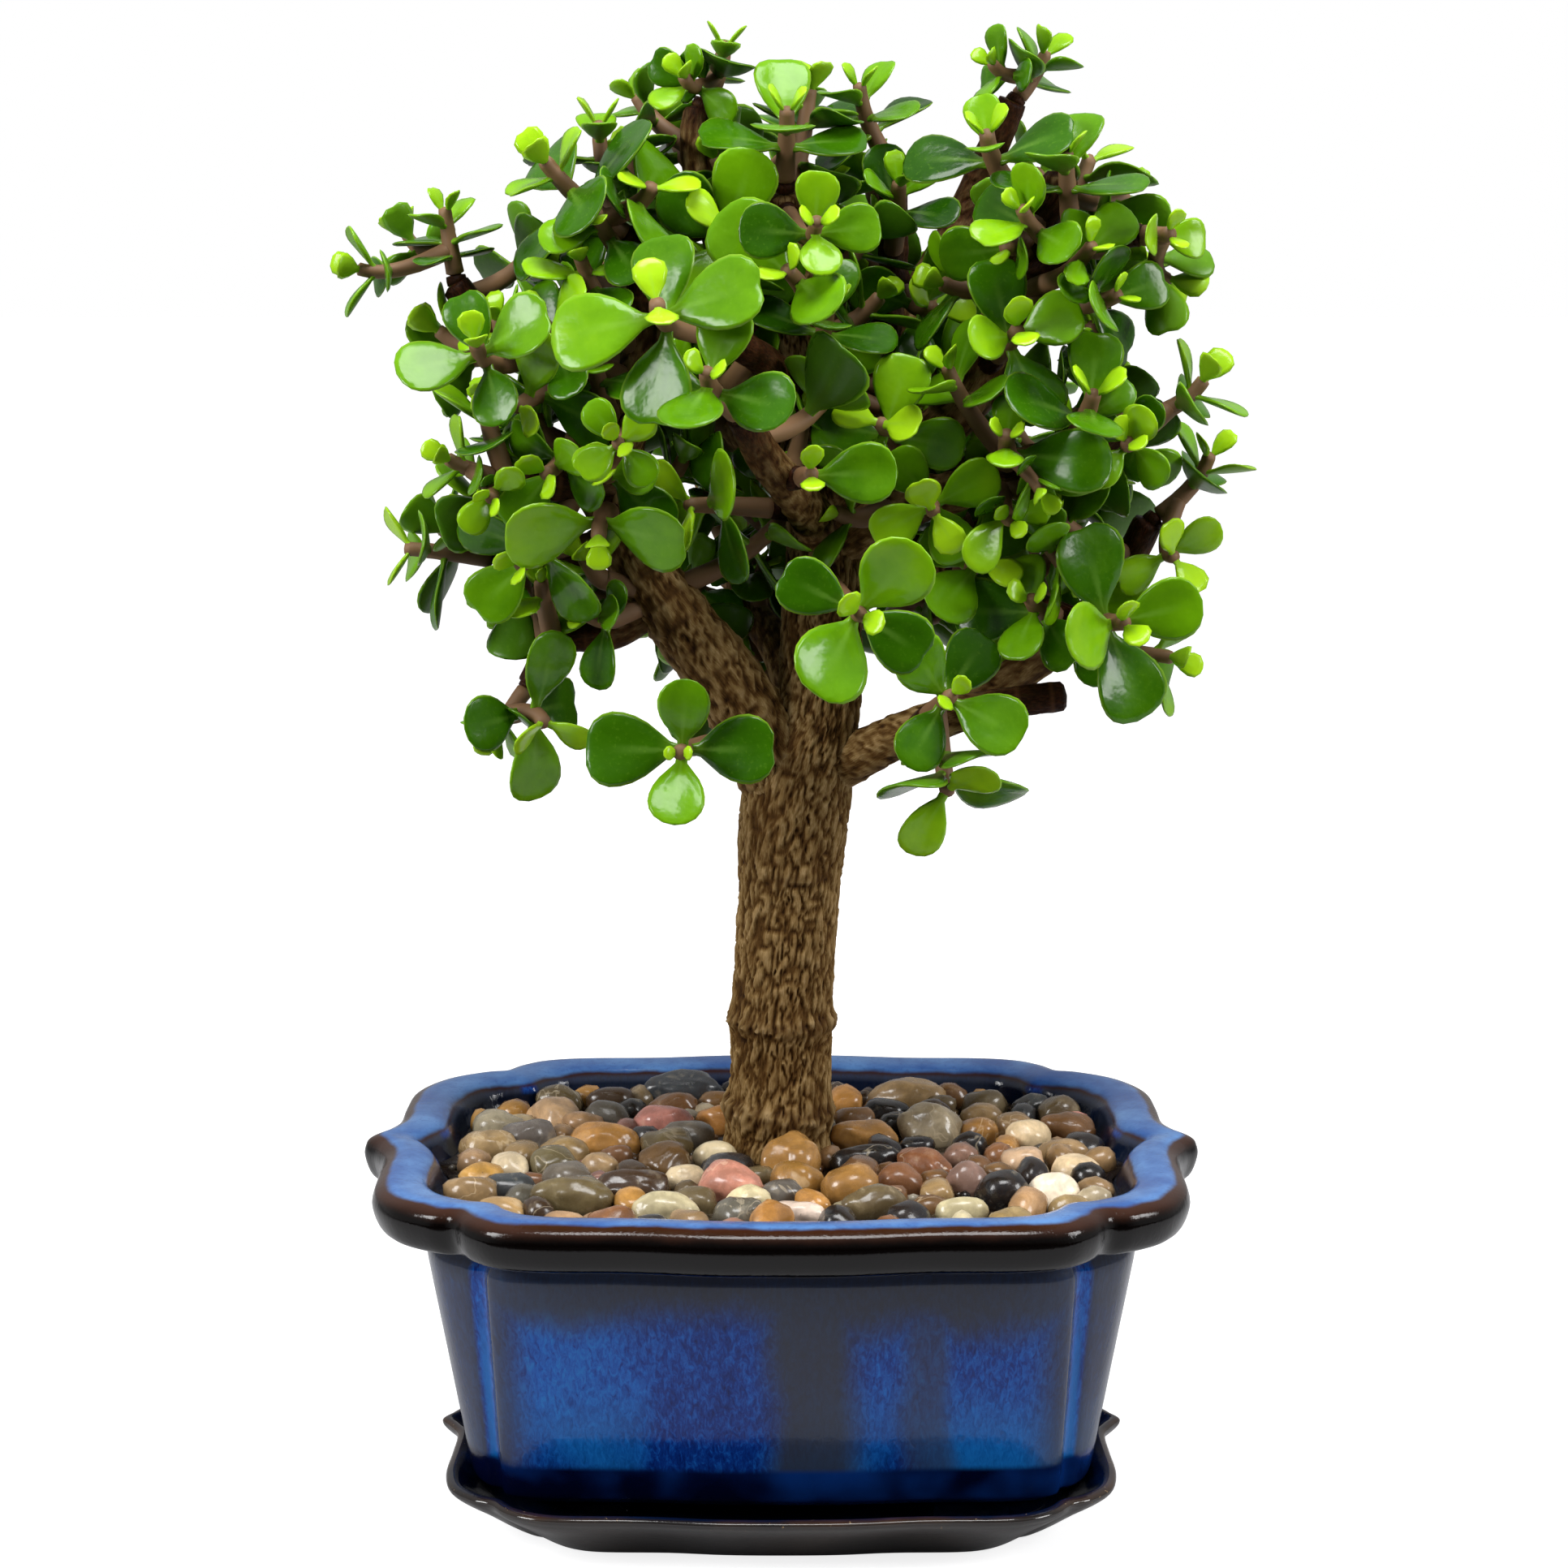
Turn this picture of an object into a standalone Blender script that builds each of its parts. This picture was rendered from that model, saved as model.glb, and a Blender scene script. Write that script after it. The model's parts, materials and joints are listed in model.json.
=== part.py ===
# Small jade tree in a glazed pot on its saucer. Metres, +Z up, the saucer rests on z = 0.
import math
import random

import bmesh
import bpy
from mathutils import Matrix, Vector
from mathutils.bvhtree import BVHTree

for thing in list(bpy.data.objects):
    bpy.data.objects.remove(thing, do_unlink=True)

mm = 0.001
gap = 0.3                   # clearance between pieces that touch, in millimetres like all below

# Plan outlines, a quarter each, from the middle of the long front side to the end tip.
rimQuarter = [(0, -61.5), (12, -61.2), (26, -59.4), (40, -59), (48, -57.2), (52.5, -53.5), (55.5, -49),
              (60, -47.5), (66.5, -42.5), (70.5, -34), (71.2, -23), (71.3, -12), (73.5, -5), (76, 0)]
bodyQuarter = [(0, -51.5), (12, -51.2), (26, -49.8), (39, -49.4), (46, -48.4), (49.8, -46.4), (51, -43.2),
               (55, -41), (60, -36), (62.6, -28), (62.8, -19), (62.8, -10), (64.5, -4), (66.5, 0)]
footQuarter = [(0, -38.5), (12, -38.3), (26, -37.2), (38, -36.9), (44.5, -36.2), (48.2, -34.6), (49.3, -31.6),
               (51.8, -30), (54, -26), (55.2, -20.5), (55.2, -14.5), (55.1, -8.5), (56, -3.5), (57, 0)]
lipQuarter = [(0, -52), (12, -51.7), (24, -50.4), (38, -50), (44, -48.5), (48, -45.5), (50.5, -42),
              (54, -40), (58, -35), (59.5, -27), (59.3, -17), (59.3, -8), (61.3, -3), (62.8, 0)]

footLevel = 8.5             # where the pot wall starts
bodyTopLevel = 55           # where the body meets the rim
wallThickness = 4.5
floorLevel = 12.8           # inside floor of the pot
saucerFloor = 4.0
drainRadius = 5.0
drainAt = 18                # the two drain holes stand this far left and right of the middle
screenSide = 16             # square screens over them
footPads = (34, 20)         # half spacing of the four feet
footTop = 8.6               # the feet run this far up into the pot's base
soilTop = 52.0
soilInset = 0.8             # soil and pebble bed stand this far in from the wall, measured at the ends
bedTop = 59.0               # top of the bed the pebbles sit in
stoneLevel = 60             # the pebbles' outlines are tested at this height
trunkAt = (-0.8, 11)        # where the trunk stands
trunkRoom = 11.2            # no pebble comes closer to its middle
pebbleTries = 9000          # places tried for the pebbles laid by rule
stubSink = 1.2              # how far a twig's stub stands proud of a limb's end
woodFaces, pebbleFaces, twigFaces, leafFaces = 2500, 3500, 32, 27   # triangles kept in each kind of piece

# Profiles: (height, inset from the outline), up the outside and back down the inside.
potRimProfile = [(55.4, 7.2), (57.3, 1.4), (60.8, 0), (64.1, 1.1), (65.0, 3.4), (64.3, 8.7), (62.4, 10.3)]
saucerProfile = [(0, 12.5), (1.3, 10.4), (5, 5.8), (9.2, 0.6), (10.4, 0.2), (10.9, 1.6), (9.6, 3.4),
                 (4.6, 9.6), (4.0, 12.6)]

# Limbs: (x, y, z, radius) from the parent outwards.
trunkPath = [(-0.9, 12, 30, 6.5), (-0.9, 11.5, 46, 10.2), (-0.8, 11, 57, 10.5), (-0.6, 11, 62.5, 9.8),
             (-0.4, 10.6, 67.5, 10.2), (-0.2, 10.4, 70.5, 9.5), (0, 9.8, 81, 9.4), (0.1, 9.6, 84.5, 9.9),
             (0.2, 9.4, 88, 9.3), (1.3, 8.6, 107, 9.3), (2.3, 8, 122, 10), (4, 8, 133, 9.4),
             (6.6, 8, 142.5, 7.9), (7.3, 8, 158.7, 7.2), (7.7, 8, 175, 6.7), (6.1, 8, 188, 6.2),
             (4.6, 8, 201, 5.4), (3.2, 8, 212, 4.6), (1.7, 8, 223.5, 3.7), (0.4, 6, 234, 3.2)]
limbPaths = {
    "left": [(1, 8, 126, 7), (-1.5, 7, 132, 7.4), (-8.4, 2, 146, 6.6), (-17, -2, 158, 6.1),
             (-24.7, -4, 169, 5.4), (-28.9, -5, 177.5, 4.8), (-28.1, -6, 187.5, 4.2), (-26.1, -8, 197, 3.6)],
    "leftOuter": [(-27, -7, 193, 3.4), (-34, -8, 202, 3.1), (-42.7, -6, 206, 2.8), (-51, -5, 211, 2.7),
                  (-56, -5, 217.5, 2.6)],
    "leftUp": [(-26.5, -7.5, 194, 3.3), (-25, -6, 204, 3.2), (-24, -5, 215, 2.9), (-24.5, -4, 225, 2.7)],
    "crownLeft": [(4.6, 8, 199, 3.6), (-4.8, 10, 213.5, 3.2), (-12, 12, 228, 2.9), (-14.6, 13, 241, 3.4),
                  (-14.5, 13.5, 248, 2.9)],
    "front": [(7, 8, 172, 4.3), (6.8, 3, 175, 4.2), (3.1, -12, 181.5, 3.6), (-2.5, -26, 189.5, 3.2),
              (-6.5, -34, 197, 2.6)],
    "frontUp": [(4.9, 8, 196, 3.2), (3, 0, 199, 3.1), (-3.5, -16, 206, 2.8), (-11, -28, 210.5, 2.5)],
    "rightUp": [(7.5, 8, 172, 5), (16, 4, 185, 4.6), (25.3, 0, 191, 4.4), (32.2, -3, 198, 4.2),
                (37, -4, 208.5, 4.0), (40.7, -4, 218, 3.8), (42, -4, 226.5, 3.5), (40, -4, 234, 3.0)],
    "rightKnob": [(40.7, -4, 219, 3.0), (44.5, -5, 229, 2.9), (47.3, -6, 233, 2.9), (48, -6, 236, 3.2)],
    "rightArm": [(40, -4, 216, 2.9), (47, -8, 222.5, 2.6), (53, -10, 226, 2.4), (60, -12, 226.8, 2.2)],
    "backRight": [(6.3, 9, 182, 4.3), (12, 16, 192, 4.0), (19.6, 24, 203, 3.8), (24.9, 30, 214.5, 3.4),
                  (31.6, 32, 226.5, 3.1), (36.7, 32, 237.5, 2.9), (41.7, 30, 249.5, 2.7)],
    "backMid": [(18, 22.5, 201, 3.1), (20.3, 26, 220.5, 2.8), (20.2, 26, 238, 2.5)],
    "rightMid": [(8, 8, 170, 4.4), (21, 0, 180, 3.9), (30.8, -6, 182.5, 3.6), (39, -10, 186.5, 3.3),
                 (51.6, -10, 190, 3.0), (61.6, -8, 194.5, 2.6)],
    "rightFork": [(13, 5.5, 174, 3.4), (21.5, 7, 171.5, 3.2), (30, 6, 167.5, 3.6), (40, 0, 163.5, 2.9),
                  (51, -4, 159.5, 2.6)],
    "rightLow": [(3.5, 8, 129, 5.4), (11.3, 6, 132.5, 4.6), (21.3, 0, 138.5, 4.0), (31, -6, 143, 3.4),
                 (41, -8, 145.5, 2.8), (49, -8, 146.5, 2.7)],
    "rightBack": [(19, 2, 137.2, 3.6), (33, 7, 142.5, 3.5), (44, 9, 149, 3.4), (54, 8, 157.5, 3.1),
                  (61, 6, 167, 2.9), (65, 4, 175.5, 2.7)],
    "leftLow": [(-21, -3, 163.5, 3.2), (-29, -4, 157.6, 3.0), (-39, -6, 156, 2.6), (-44, -8, 149, 2.3)],
    "leftMid": [(-28, -5, 176, 2.9), (-37.7, -2, 170.5, 2.4), (-49.3, 0, 169.8, 2.2)],
    "leftHigh": [(-28.5, -6, 183, 3.2), (-37, -12, 183.7, 2.8), (-48, -14, 185.3, 2.6)],
    "backLow": [(5, 9, 139, 4.2), (0, 24, 150, 3.6), (-7, 37, 160, 3.1), (-10, 47, 171, 2.6)],
    "backLeft": [(6.8, 9, 180, 3.9), (-6, 22, 190, 3.4), (-20, 33, 202, 3.0), (-30, 37, 215, 2.6)],
    "backTop": [(4.6, 9, 200, 3.4), (5, 22, 212, 3.1), (6, 33, 224, 2.8), (4, 37, 237, 2.5)],
    "backRightLow": [(8, 10, 158, 3.9), (20, 26, 167, 3.3), (31, 37, 177, 2.8), (38, 42, 190, 2.5)],
}

# Leafy sprays, each a list of twigs: (start on a limb, or how far along the first twig; tip; the way the
# tip looks; roll in degrees; leaf lengths in pairs from the tip down, negative where one is missing).
sprayRows = [
    [((-4, 4, 138), (-17, -36, 141), (-0.05, -1, 0.1), 0, (3.5, 14, 17))],
    [((7, 6, 167), (13, -42, 165), (0.05, -1, 0.05), 35, (6.5, 17, 15))],
    [((-11, -28, 210.5), (-20, -46, 216), (0.05, -0.8, 0.6), -102, (8, 19, 16))],
    [((-6.5, -34, 197), (-12, -48, 205), (0, -0.85, 0.5), 10, (5.5, 14, 15.5))],
    [((51, -4, 159.5), (59, -20, 161), (0.25, -0.95, 0.1), -110, (6.5, 15.5, 17))],
    [((0.4, 7, 232), (6, -24, 229), (0.1, -0.85, 0.5), 0, (5, 10, 12))],
    [((-28.8, -5, 177.5), (-31, -24, 176), (0, -0.6, -0.7), -90, (6, 17.5))],
    [((-42.7, -6, 206), (-51, -28, 209), (-0.05, -0.75, 0.65), -110, (6, 15, 12))],
    [((-24.5, -4, 225), (-40, -14, 239), (-0.55, -0.4, 0.75), 20, (7, 9, 17, 17)),
     (0.12, (-22, -12, 235), (0.35, -0.45, 0.8), 40, (8, 16, 15))],
    [((40, -4, 234), (35, -12, 244), (-0.1, -0.6, 0.8), 165, (6, 9, 16, 16))],
    [((39, -10, 186.5), (38, -25, 193.5), (-0.1, -0.75, 0.65), 8, (4.5, 8, -17)),
     (0.45, (44, -24, 184), (0.3, -0.7, -0.6), 30, (5, 8, 7))],
    [((60, -12, 226.8), (66, -17, 227), (0.45, -0.85, 0.2), -90, (5, 9.5, 15)),
     (0.1, (67, -7, 219), (0.8, 0.1, -0.3), 20, (7, 11, 11))],
    [((23, -0.5, 139), (29, -25, 149), (0.1, -0.95, 0.25), -50, (5, 15, 14)),
     (0.25, (29, -16, 131), (0.05, -0.93, -0.35), -60, (13, 17, 15))],
    [((34.5, -3.5, 203), (40, -21, 211), (0.1, -0.9, 0.35), 80, (7, 12, 15))],
    [((3.2, 7.5, 213), (1, -20, 221), (-0.4, -0.75, 0.4), -55, (7, 17.5))],
    [((0, -19.5, 185.5), (5, -31, 187.5), (0.1, -0.97, 0.2), 90, (6, -15.5))],
    [((-26.1, -8, 196), (-27, -36, 193), (0, -0.95, 0.2), 50, (4.5, 8.5, 8))],
    [((-14.5, 13.5, 248), (-10, 14, 260), (0.1, -0.15, 1), 0, (5.5, 7, 13, 16)),
     (0.15, (-17, 4, 254), (-0.3, -0.55, 0.8), 30, (5, 8, 10, 9))],
    [((0.4, 6, 234), (1, -2, 248), (0, -0.5, 0.85), 0, (6, 15, 15))],
    [((41.7, 30, 249.5), (48, 30, 259), (0.35, -0.2, 0.9), 30, (6, 9, 11, 10)),
     (0.5, (38, 25, 257), (-0.5, -0.4, 0.75), 0, (4.5, 8, 8.5))],
    [((-56, -5, 217.5), (-58, -6, 231), (-0.1, -0.1, 1), 30, (5, 8.5, 10, 9)),
     (0.2, (-73, -8, 221), (-0.9, -0.3, 0.3), 0, (6, 9, 9.5)),
     (0.32, (-66, 5, 227), (-0.4, 0.3, 0.8), 40, (5.5, 8, 8))],
    [((61.6, -8, 194.5), (73, -10, 202), (0.5, -0.3, 0.85), 0, (7, 10, 12)),
     (0.1, (59, -20, 192), (0.1, -0.8, 0.5), 40, (6, 9, 9.5, 9))],
    [((65, 4, 175.5), (76, 4, 188), (0.2, -0.4, 0.9), 0, (6, 10, 13)),
     (0.1, (69, -6, 171), (0.5, -0.8, 0.2), 60, (8, 10))],
    [((42, -4, 226), (54, 4, 240), (0.3, 0.0, 0.95), 70, (9, 14, 12))],
    [((20.2, 26, 238), (14, 20, 253), (-0.1, -0.35, 0.95), 10, (5.5, 10.5, 12.5, 12))],
    [((-48, -14, 185.3), (-57, -18, 189), (-0.7, -0.5, 0.5), 10, (5.5, 8.5, 10, 10)),
     (0.12, (-49, -27, 183), (-0.2, -0.9, -0.2), 40, (5, 8, 8))],
    [((-44, -8, 149), (-50, -12, 140), (-0.4, -0.3, -0.85), 0, (5, 8, 9)),
     (0.55, (-41, -18, 143), (0.3, -0.6, -0.7), 0, (9, 15.5, 13))],
    [((-49.3, 0, 169.8), (-66, -2, 172), (-0.9, -0.25, 0.1), 70, (8, 12.5, 13))],
    [((-36, -7.8, 203), (-45, -21, 198), (-0.4, -0.8, -0.2), 20, (8, 15, 15))],
    [((4.8, -6, 179), (-16, -17, 181), (-0.75, -0.6, 0.05), 60, (9, 15.5, 14))],
    [((-24.5, -5, 213), (-38, 2, 222), (-0.75, -0.15, 0.5), 30, (9, 14, 15))],
    [((-24.2, -5, 216.5), (-32, 7, 246), (0, -0.2, 1), 0, (6, 10, 13, 11))],
    [((-12, 12, 228), (-9, -9, 228), (0.1, -0.7, 0.5), 20, (9, 16, 17))],
    [((20, 2.2, 187.6), (17, -17, 195), (-0.3, -0.85, 0.4), 15, (9, 13.5, 13))],
    [((26, -3, 181.2), (26, -20, 180), (0, -0.9, -0.3), 60, (8, 12, 12))],
    [((30, 6, 167.5), (35, -10, 171), (0.2, -0.8, 0.4), 40, (8, 13, 11))],
    [((47, 8.7, 151.6), (69, -5, 153), (0.8, -0.5, -0.1), 25, (6, 12, 12))],
    [((20.3, 26, 222), (27, 12, 214), (0.4, -0.7, 0.4), 20, (8, 13, 13))],
    [((-19, -2.7, 161), (-36, 10, 164), (-0.6, 0.4, 0.3), 20, (8, 12, 11))],
    [((-46, -5.5, 208), (-60, 5, 205), (-0.85, 0.2, 0.1), 40, (7, 12, 12))],
    [((40, 0, 163.5), (40, 14, 158), (0.1, 0.5, -0.8), 20, (7, 11, 11))],
    [((-10, 47, 171), (-13, 55, 180), (-0.1, 0.7, 0.75), 30, (7, 13, 16, 14)),
     (0.1, (2, 55, 168), (0.5, 0.7, 0.1), 0, (7, 14, 14))],
    [((-3, 30, 154.8), (-22, 36, 154), (-0.7, 0.5, 0.1), 20, (7, 13, 13))],
    [((-30, 37, 215), (-38, 42, 226), (-0.5, 0.3, 0.85), 10, (6, 12, 15, 14)),
     (0.1, (-44, 34, 212), (-0.9, 0.1, 0.2), 50, (7, 13, 12))],
    [((-16, 30, 198.5), (-22, 47, 196), (-0.2, 0.9, 0.1), 20, (7, 14, 15))],
    [((4, 37, 237), (2, 41, 249), (0, 0.3, 0.95), 0, (6, 12, 15, 14)),
     (0.1, (-5, 50, 238), (-0.3, 0.85, 0.3), 40, (6, 13, 14))],
    [((5.6, 30, 220.5), (17, 46, 222), (0.5, 0.8, 0.2), 20, (7, 14, 15))],
    [((38, 42, 190), (46, 46, 200), (0.4, 0.3, 0.85), 20, (6, 12, 15, 13)),
     (0.1, (50, 38, 186), (0.9, 0.1, 0.1), 0, (7, 12, 12))],
    [((23, 29, 169.5), (20, 46, 174), (-0.1, 0.95, 0.2), 10, (7, 14, 15))],
    [((35, 32.2, 234), (48, 36, 238), (0.7, 0.3, 0.6), 30, (7, 12, 13))],
]

# Pebbles picked out one by one: (x, y, length, width, turn in degrees). The rest follow by rule.
pebbleRows = [
    (-9, -21, 14, 10, -30), (2, -6, 12, 9.5, 60), (-12, 1, 8.5, 6.5, -10), (-49, -7, 9, 6.5, -50),
    (-43, 27, 11.5, 9.5, -35), (-22, 21, 12.5, 8, -5), (-33, 11, 14, 8, -5), (-47, 11, 12, 8, 20),
    (-33, 26, 10, 7.5, 0), (-21, 6, 12, 8.5, 40), (-40, 3, 10, 7.5, 15), (-56, 6, 11, 7, 0),
    (-26, -21, 14, 7.5, -12), (-36, -29, 15, 8.5, -5), (-48, -20, 10, 7, 5), (-38, -15, 9, 7.5, 30),
    (-33, -7, 8, 5.5, -15), (-17, -14, 8, 6.5, 20), (-20, -34, 12, 6.5, 0), (-15, -27, 9, 6, -15),
    (-57, 19, 10.5, 8, 0), (-50, 17, 8.5, 6, 35), (-51, 30, 7.5, 7, 0), (-20, 45, 17, 8, 0),
    (-21, 34, 11, 6.5, 5), (-33, 38, 10.5, 6.5, -5), (-43, 38, 9.5, 6.5, 0), (-56, -3, 7.5, 7, 60),
    (-30, 1, 6.5, 5, 0), (3, -35, 11, 6, 0), (12, -21, 10.5, 8, -5), (16, -31, 13, 6.5, 28),
    (21, -16, 9, 8, 0), (15, -3, 14, 6.5, 5), (16, 12, 12, 8, 25), (25, 7, 7.5, 5, 0),
    (28, 18, 12.5, 9, -20), (26, -6, 13, 6.5, -50), (35, 9, 7.5, 5.5, 0), (33, 1, 7, 6, 0),
    (33, -17, 8, 7, 30), (39, -25, 10, 8, 0), (47.5, -25, 10, 8, 0), (44, -7, 8.5, 8, 0),
    (53, -9, 10, 8, -20), (59, -14, 7, 6.5, 0), (60, 8, 9, 7.5, 30), (46, 13, 9, 6.5, 10),
    (52, 5, 10, 5, -5), (40, 2, 6.5, 6, 60), (39, -12, 6, 5, 0), (37, 18, 8, 6.5, 0), (44, 22, 8, 6, 0),
    (54, 19, 11, 7, -15), (53, 30, 9, 7, 20), (58, 26, 6, 5, 0), (38, 28, 8.5, 6, 0),
    (39, 36, 9.5, 7, 0), (25, 43, 17, 8.5, -12), (12, 38, 8, 7, 20), (20, 31, 10, 6.5, -10),
    (14, 26, 9, 6.5, 10), (29, 28, 8, 6, 0), (26, -30, 7.5, 5, 20), (31, -34, 10, 5, 0),
    (60, -2, 7, 5.5, 0),
]

smallLeaf = 7.3             # buds shorter than this stay out of the solids

leafTone = (0.075, 0.26, 0.012)
barkTone = (0.17, 0.085, 0.035)


def fullOutline(quarter):
    loop = list(quarter)
    loop += [(x, -y) for x, y in reversed(quarter[:-1])]
    loop += [(-x, -y) for x, y in quarter[1:]]
    loop += [(-x, y) for x, y in reversed(quarter[1:-1])]
    return loop


def inset(outline, amount):
    # Scales the outline so that its ends and its sides all move in by the amount.
    halfLength = max(x for x, y in outline)
    halfDepth = max(y for x, y in outline)
    return [(x * (1 - amount / halfLength), y * (1 - amount / halfDepth)) for x, y in outline]


def blend(first, second, share):
    return [(a[0] + (b[0] - a[0]) * share, a[1] + (b[1] - a[1]) * share) for a, b in zip(first, second)]


rimOutline = fullOutline(rimQuarter)
bodyOutline = fullOutline(bodyQuarter)
footOutline = fullOutline(footQuarter)
lipOutline = fullOutline(lipQuarter)


def bodyAt(height):
    share = min(max((height - footLevel) / (bodyTopLevel - footLevel), 0), 1)
    return blend(footOutline, bodyOutline, share)


def innerAt(height):
    # The inside wall of the pot at a height, from the floor up to the rim's inner edge.
    if height <= bodyTopLevel:
        return inset(bodyAt(height), wallThickness)
    share = (height - bodyTopLevel) / (potRimProfile[-1][0] - bodyTopLevel)
    return blend(inset(bodyOutline, wallThickness), inset(rimOutline, potRimProfile[-1][1]), min(share, 1))


def insideOutline(outline, x, y):
    inside = False
    for a, b in zip(outline, outline[1:] + outline[:1]):
        if (a[1] > y) != (b[1] > y):
            if x < a[0] + (b[0] - a[0]) * (y - a[1]) / (b[1] - a[1]):
                inside = not inside
    return inside


def growRings(mesh, rings):
    # Walks a loop of edges through a list of point rings, with an end face on the first and the last.
    count = len(rings[0])
    made = bmesh.ops.create_circle(mesh, cap_ends=True, segments=count, radius=1.0)
    loop = list(made["verts"])
    for vert, place in zip(loop, rings[0]):
        vert.co = place
    edges = [e for e in mesh.edges if e.verts[0] in made["verts"] and e.verts[1] in made["verts"]]
    for ring in rings[1:]:
        grown = bmesh.ops.extrude_edge_only(mesh, edges=edges)["geom"]
        fresh = {item for item in grown if isinstance(item, bmesh.types.BMVert)}
        edges = [item for item in grown if isinstance(item, bmesh.types.BMEdge)
                 and item.verts[0] in fresh and item.verts[1] in fresh]
        loop = [next(e.other_vert(v) for e in v.link_edges if e.other_vert(v) in fresh) for v in loop]
        for vert, place in zip(loop, ring):
            vert.co = place
    bmesh.ops.contextual_create(mesh, geom=edges)
    return loop


def levelRing(outline, height):
    return [Vector((x, y, height)) * mm for x, y in outline]


def tubeRings(path, sides, turn=0.0, leaving=None):
    # path: (point, radius) in millimetres; the ring frame is carried along without twisting.
    points = [p for p, r in path]
    heading = leaving or (points[1] - points[0]).normalized()
    across = heading.cross(Vector((0, 0, 1)))
    across = (across if across.length > 0.3 else heading.cross(Vector((0, 1, 0)))).normalized()
    rings = []
    for i, (point, radius) in enumerate(path):
        before = points[max(i - 1, 0)]
        after = points[min(i + 1, len(points) - 1)]
        ahead = leaving if leaving and i == 0 else (after - before).normalized()
        across = (across - ahead * across.dot(ahead)).normalized()
        other = ahead.cross(across)
        rings.append([(point + (across * math.cos(a) + other * math.sin(a)) * radius) * mm
                      for a in (turn + math.tau * k / sides for k in range(sides))])
    return rings


def meshObject(name, mesh):
    bmesh.ops.remove_doubles(mesh, verts=mesh.verts, dist=1e-7)
    bmesh.ops.recalc_face_normals(mesh, faces=mesh.faces)
    data = bpy.data.meshes.new(name)
    mesh.to_mesh(data)
    mesh.free()
    return bpy.data.objects.new(name, data)


def ringObject(name, rings):
    mesh = bmesh.new()
    growRings(mesh, rings)
    return meshObject(name, mesh)


# Growth of the leafy sprays.
def vec(row):
    return Vector(row[:3])


def curvePoint(ends, t):
    a, b, c, d = ends
    u = 1 - t
    return a * u ** 3 + b * 3 * u * u * t + c * 3 * u * t * t + d * t ** 3


def curveWalk(ends, count):
    return [curvePoint(ends, i / (count - 1)) for i in range(count)]


def nearestLimb(point):
    # Radius and direction of the limb whose centre line passes closest to a point.
    best = (1e9, 3.0, Vector((0, 0, 1)))
    for path in [trunkPath] + list(limbPaths.values()):
        for a, b in zip(path, path[1:]):
            first, second = vec(a), vec(b)
            run = second - first
            share = min(max((point - first).dot(run) / run.length_squared, 0), 1)
            away = (first + run * share - point).length
            if away < best[0]:
                best = (away, a[3] + (b[3] - a[3]) * share, run.normalized())
    return best[1], best[2]


def isLimbEnd(point):
    return any((vec(path[-1]) - point).length < 0.01 for path in [trunkPath] + list(limbPaths.values()))


def planTwigs():
    # Works out each twig's centre line and, for the first of a spray, its stub on the limb.
    sprays = []
    for rows in sprayRows:
        twigs = []
        for start, tip, look, roll, sizes in rows:
            tip = Vector(tip)
            look = Vector(look).normalized()
            stub = None
            if isinstance(start, tuple):
                start = Vector(start)
                away = (tip - start).length
                heading = (tip - look * away * 0.35 - start).normalized()
                limbRadius, limbWay = nearestLimb(start)
                lean = heading.cross(limbWay).length
                if isLimbEnd(start):
                    reach = stubSink + limbRadius * lean * 1.1
                else:
                    reach = (limbRadius + 1.9 * abs(heading.dot(limbWay))) / max(lean, 0.4) + 1.0
                stub = (start, heading, reach)
                start = start + heading * (reach + gap)
            else:
                start = curvePoint(twigs[0]["ends"], max(start, 4.0 / twigs[0]["length"]))
                away = (tip - start).length
                heading = (tip - look * away * 0.35 - start).normalized()
            away = (tip - start).length
            ends = (start, start + heading * away * 0.35, tip - look * away * 0.35, tip)
            thick = min(1.9, 1.15 + 0.045 * max(abs(s) for s in sizes))
            walk = curveWalk(ends, 9)
            length = sum((a - b).length for a, b in zip(walk, walk[1:]))
            twigs.append({"ends": ends, "radius": thick, "stub": stub, "roll": roll, "sizes": sizes,
                          "length": length})
        sprays.append(twigs)
    return sprays


def twigRadius(twig, t):
    return twig["radius"] * (1 - 0.3 * t)


openings = (30, 58, 78, 90, 98)


def leafSites(twig, chance):
    # Where each leaf of a twig starts and points; pairs stand crosswise to their neighbours.
    sites = []
    back = 0.5
    for order, size in enumerate(twig["sizes"]):
        t = 1 - back / twig["length"]
        if t < 0.12:
            break
        here = curvePoint(twig["ends"], t)
        ahead = (curvePoint(twig["ends"], min(t + 0.02, 1)) - curvePoint(twig["ends"], t - 0.02)).normalized()
        side = Vector((ahead.y, -ahead.x, 0))
        side = side if side.length > 0.3 else Vector((-1, 0, 0))
        side = (side - ahead * side.dot(ahead)).normalized()
        other = side.cross(ahead)
        stage = order if abs(twig["sizes"][0]) < 7.5 else order + 1
        for half in range(1 if size < 0 else 2):
            length = abs(size) * chance.uniform(0.93, 1.06)
            sites.append({"at": here, "ahead": ahead, "side": side, "other": other,
                          "azimuth": twig["roll"] + 90 * order + 180 * half + chance.uniform(-7, 7),
                          "opening": openings[min(stage, 4)] + chance.uniform(-6, 6),
                          "length": length, "width": length * chance.uniform(0.68, 0.8),
                          "cup": chance.uniform(0.05, 0.14), "droop": chance.uniform(0.0, 0.12),
                          "twigRadius": twigRadius(twig, t), "order": order})
        nextSize = abs(twig["sizes"][min(order + 1, len(twig["sizes"]) - 1)])
        back += 1.2 + 0.15 * nextSize
    return sites


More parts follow.
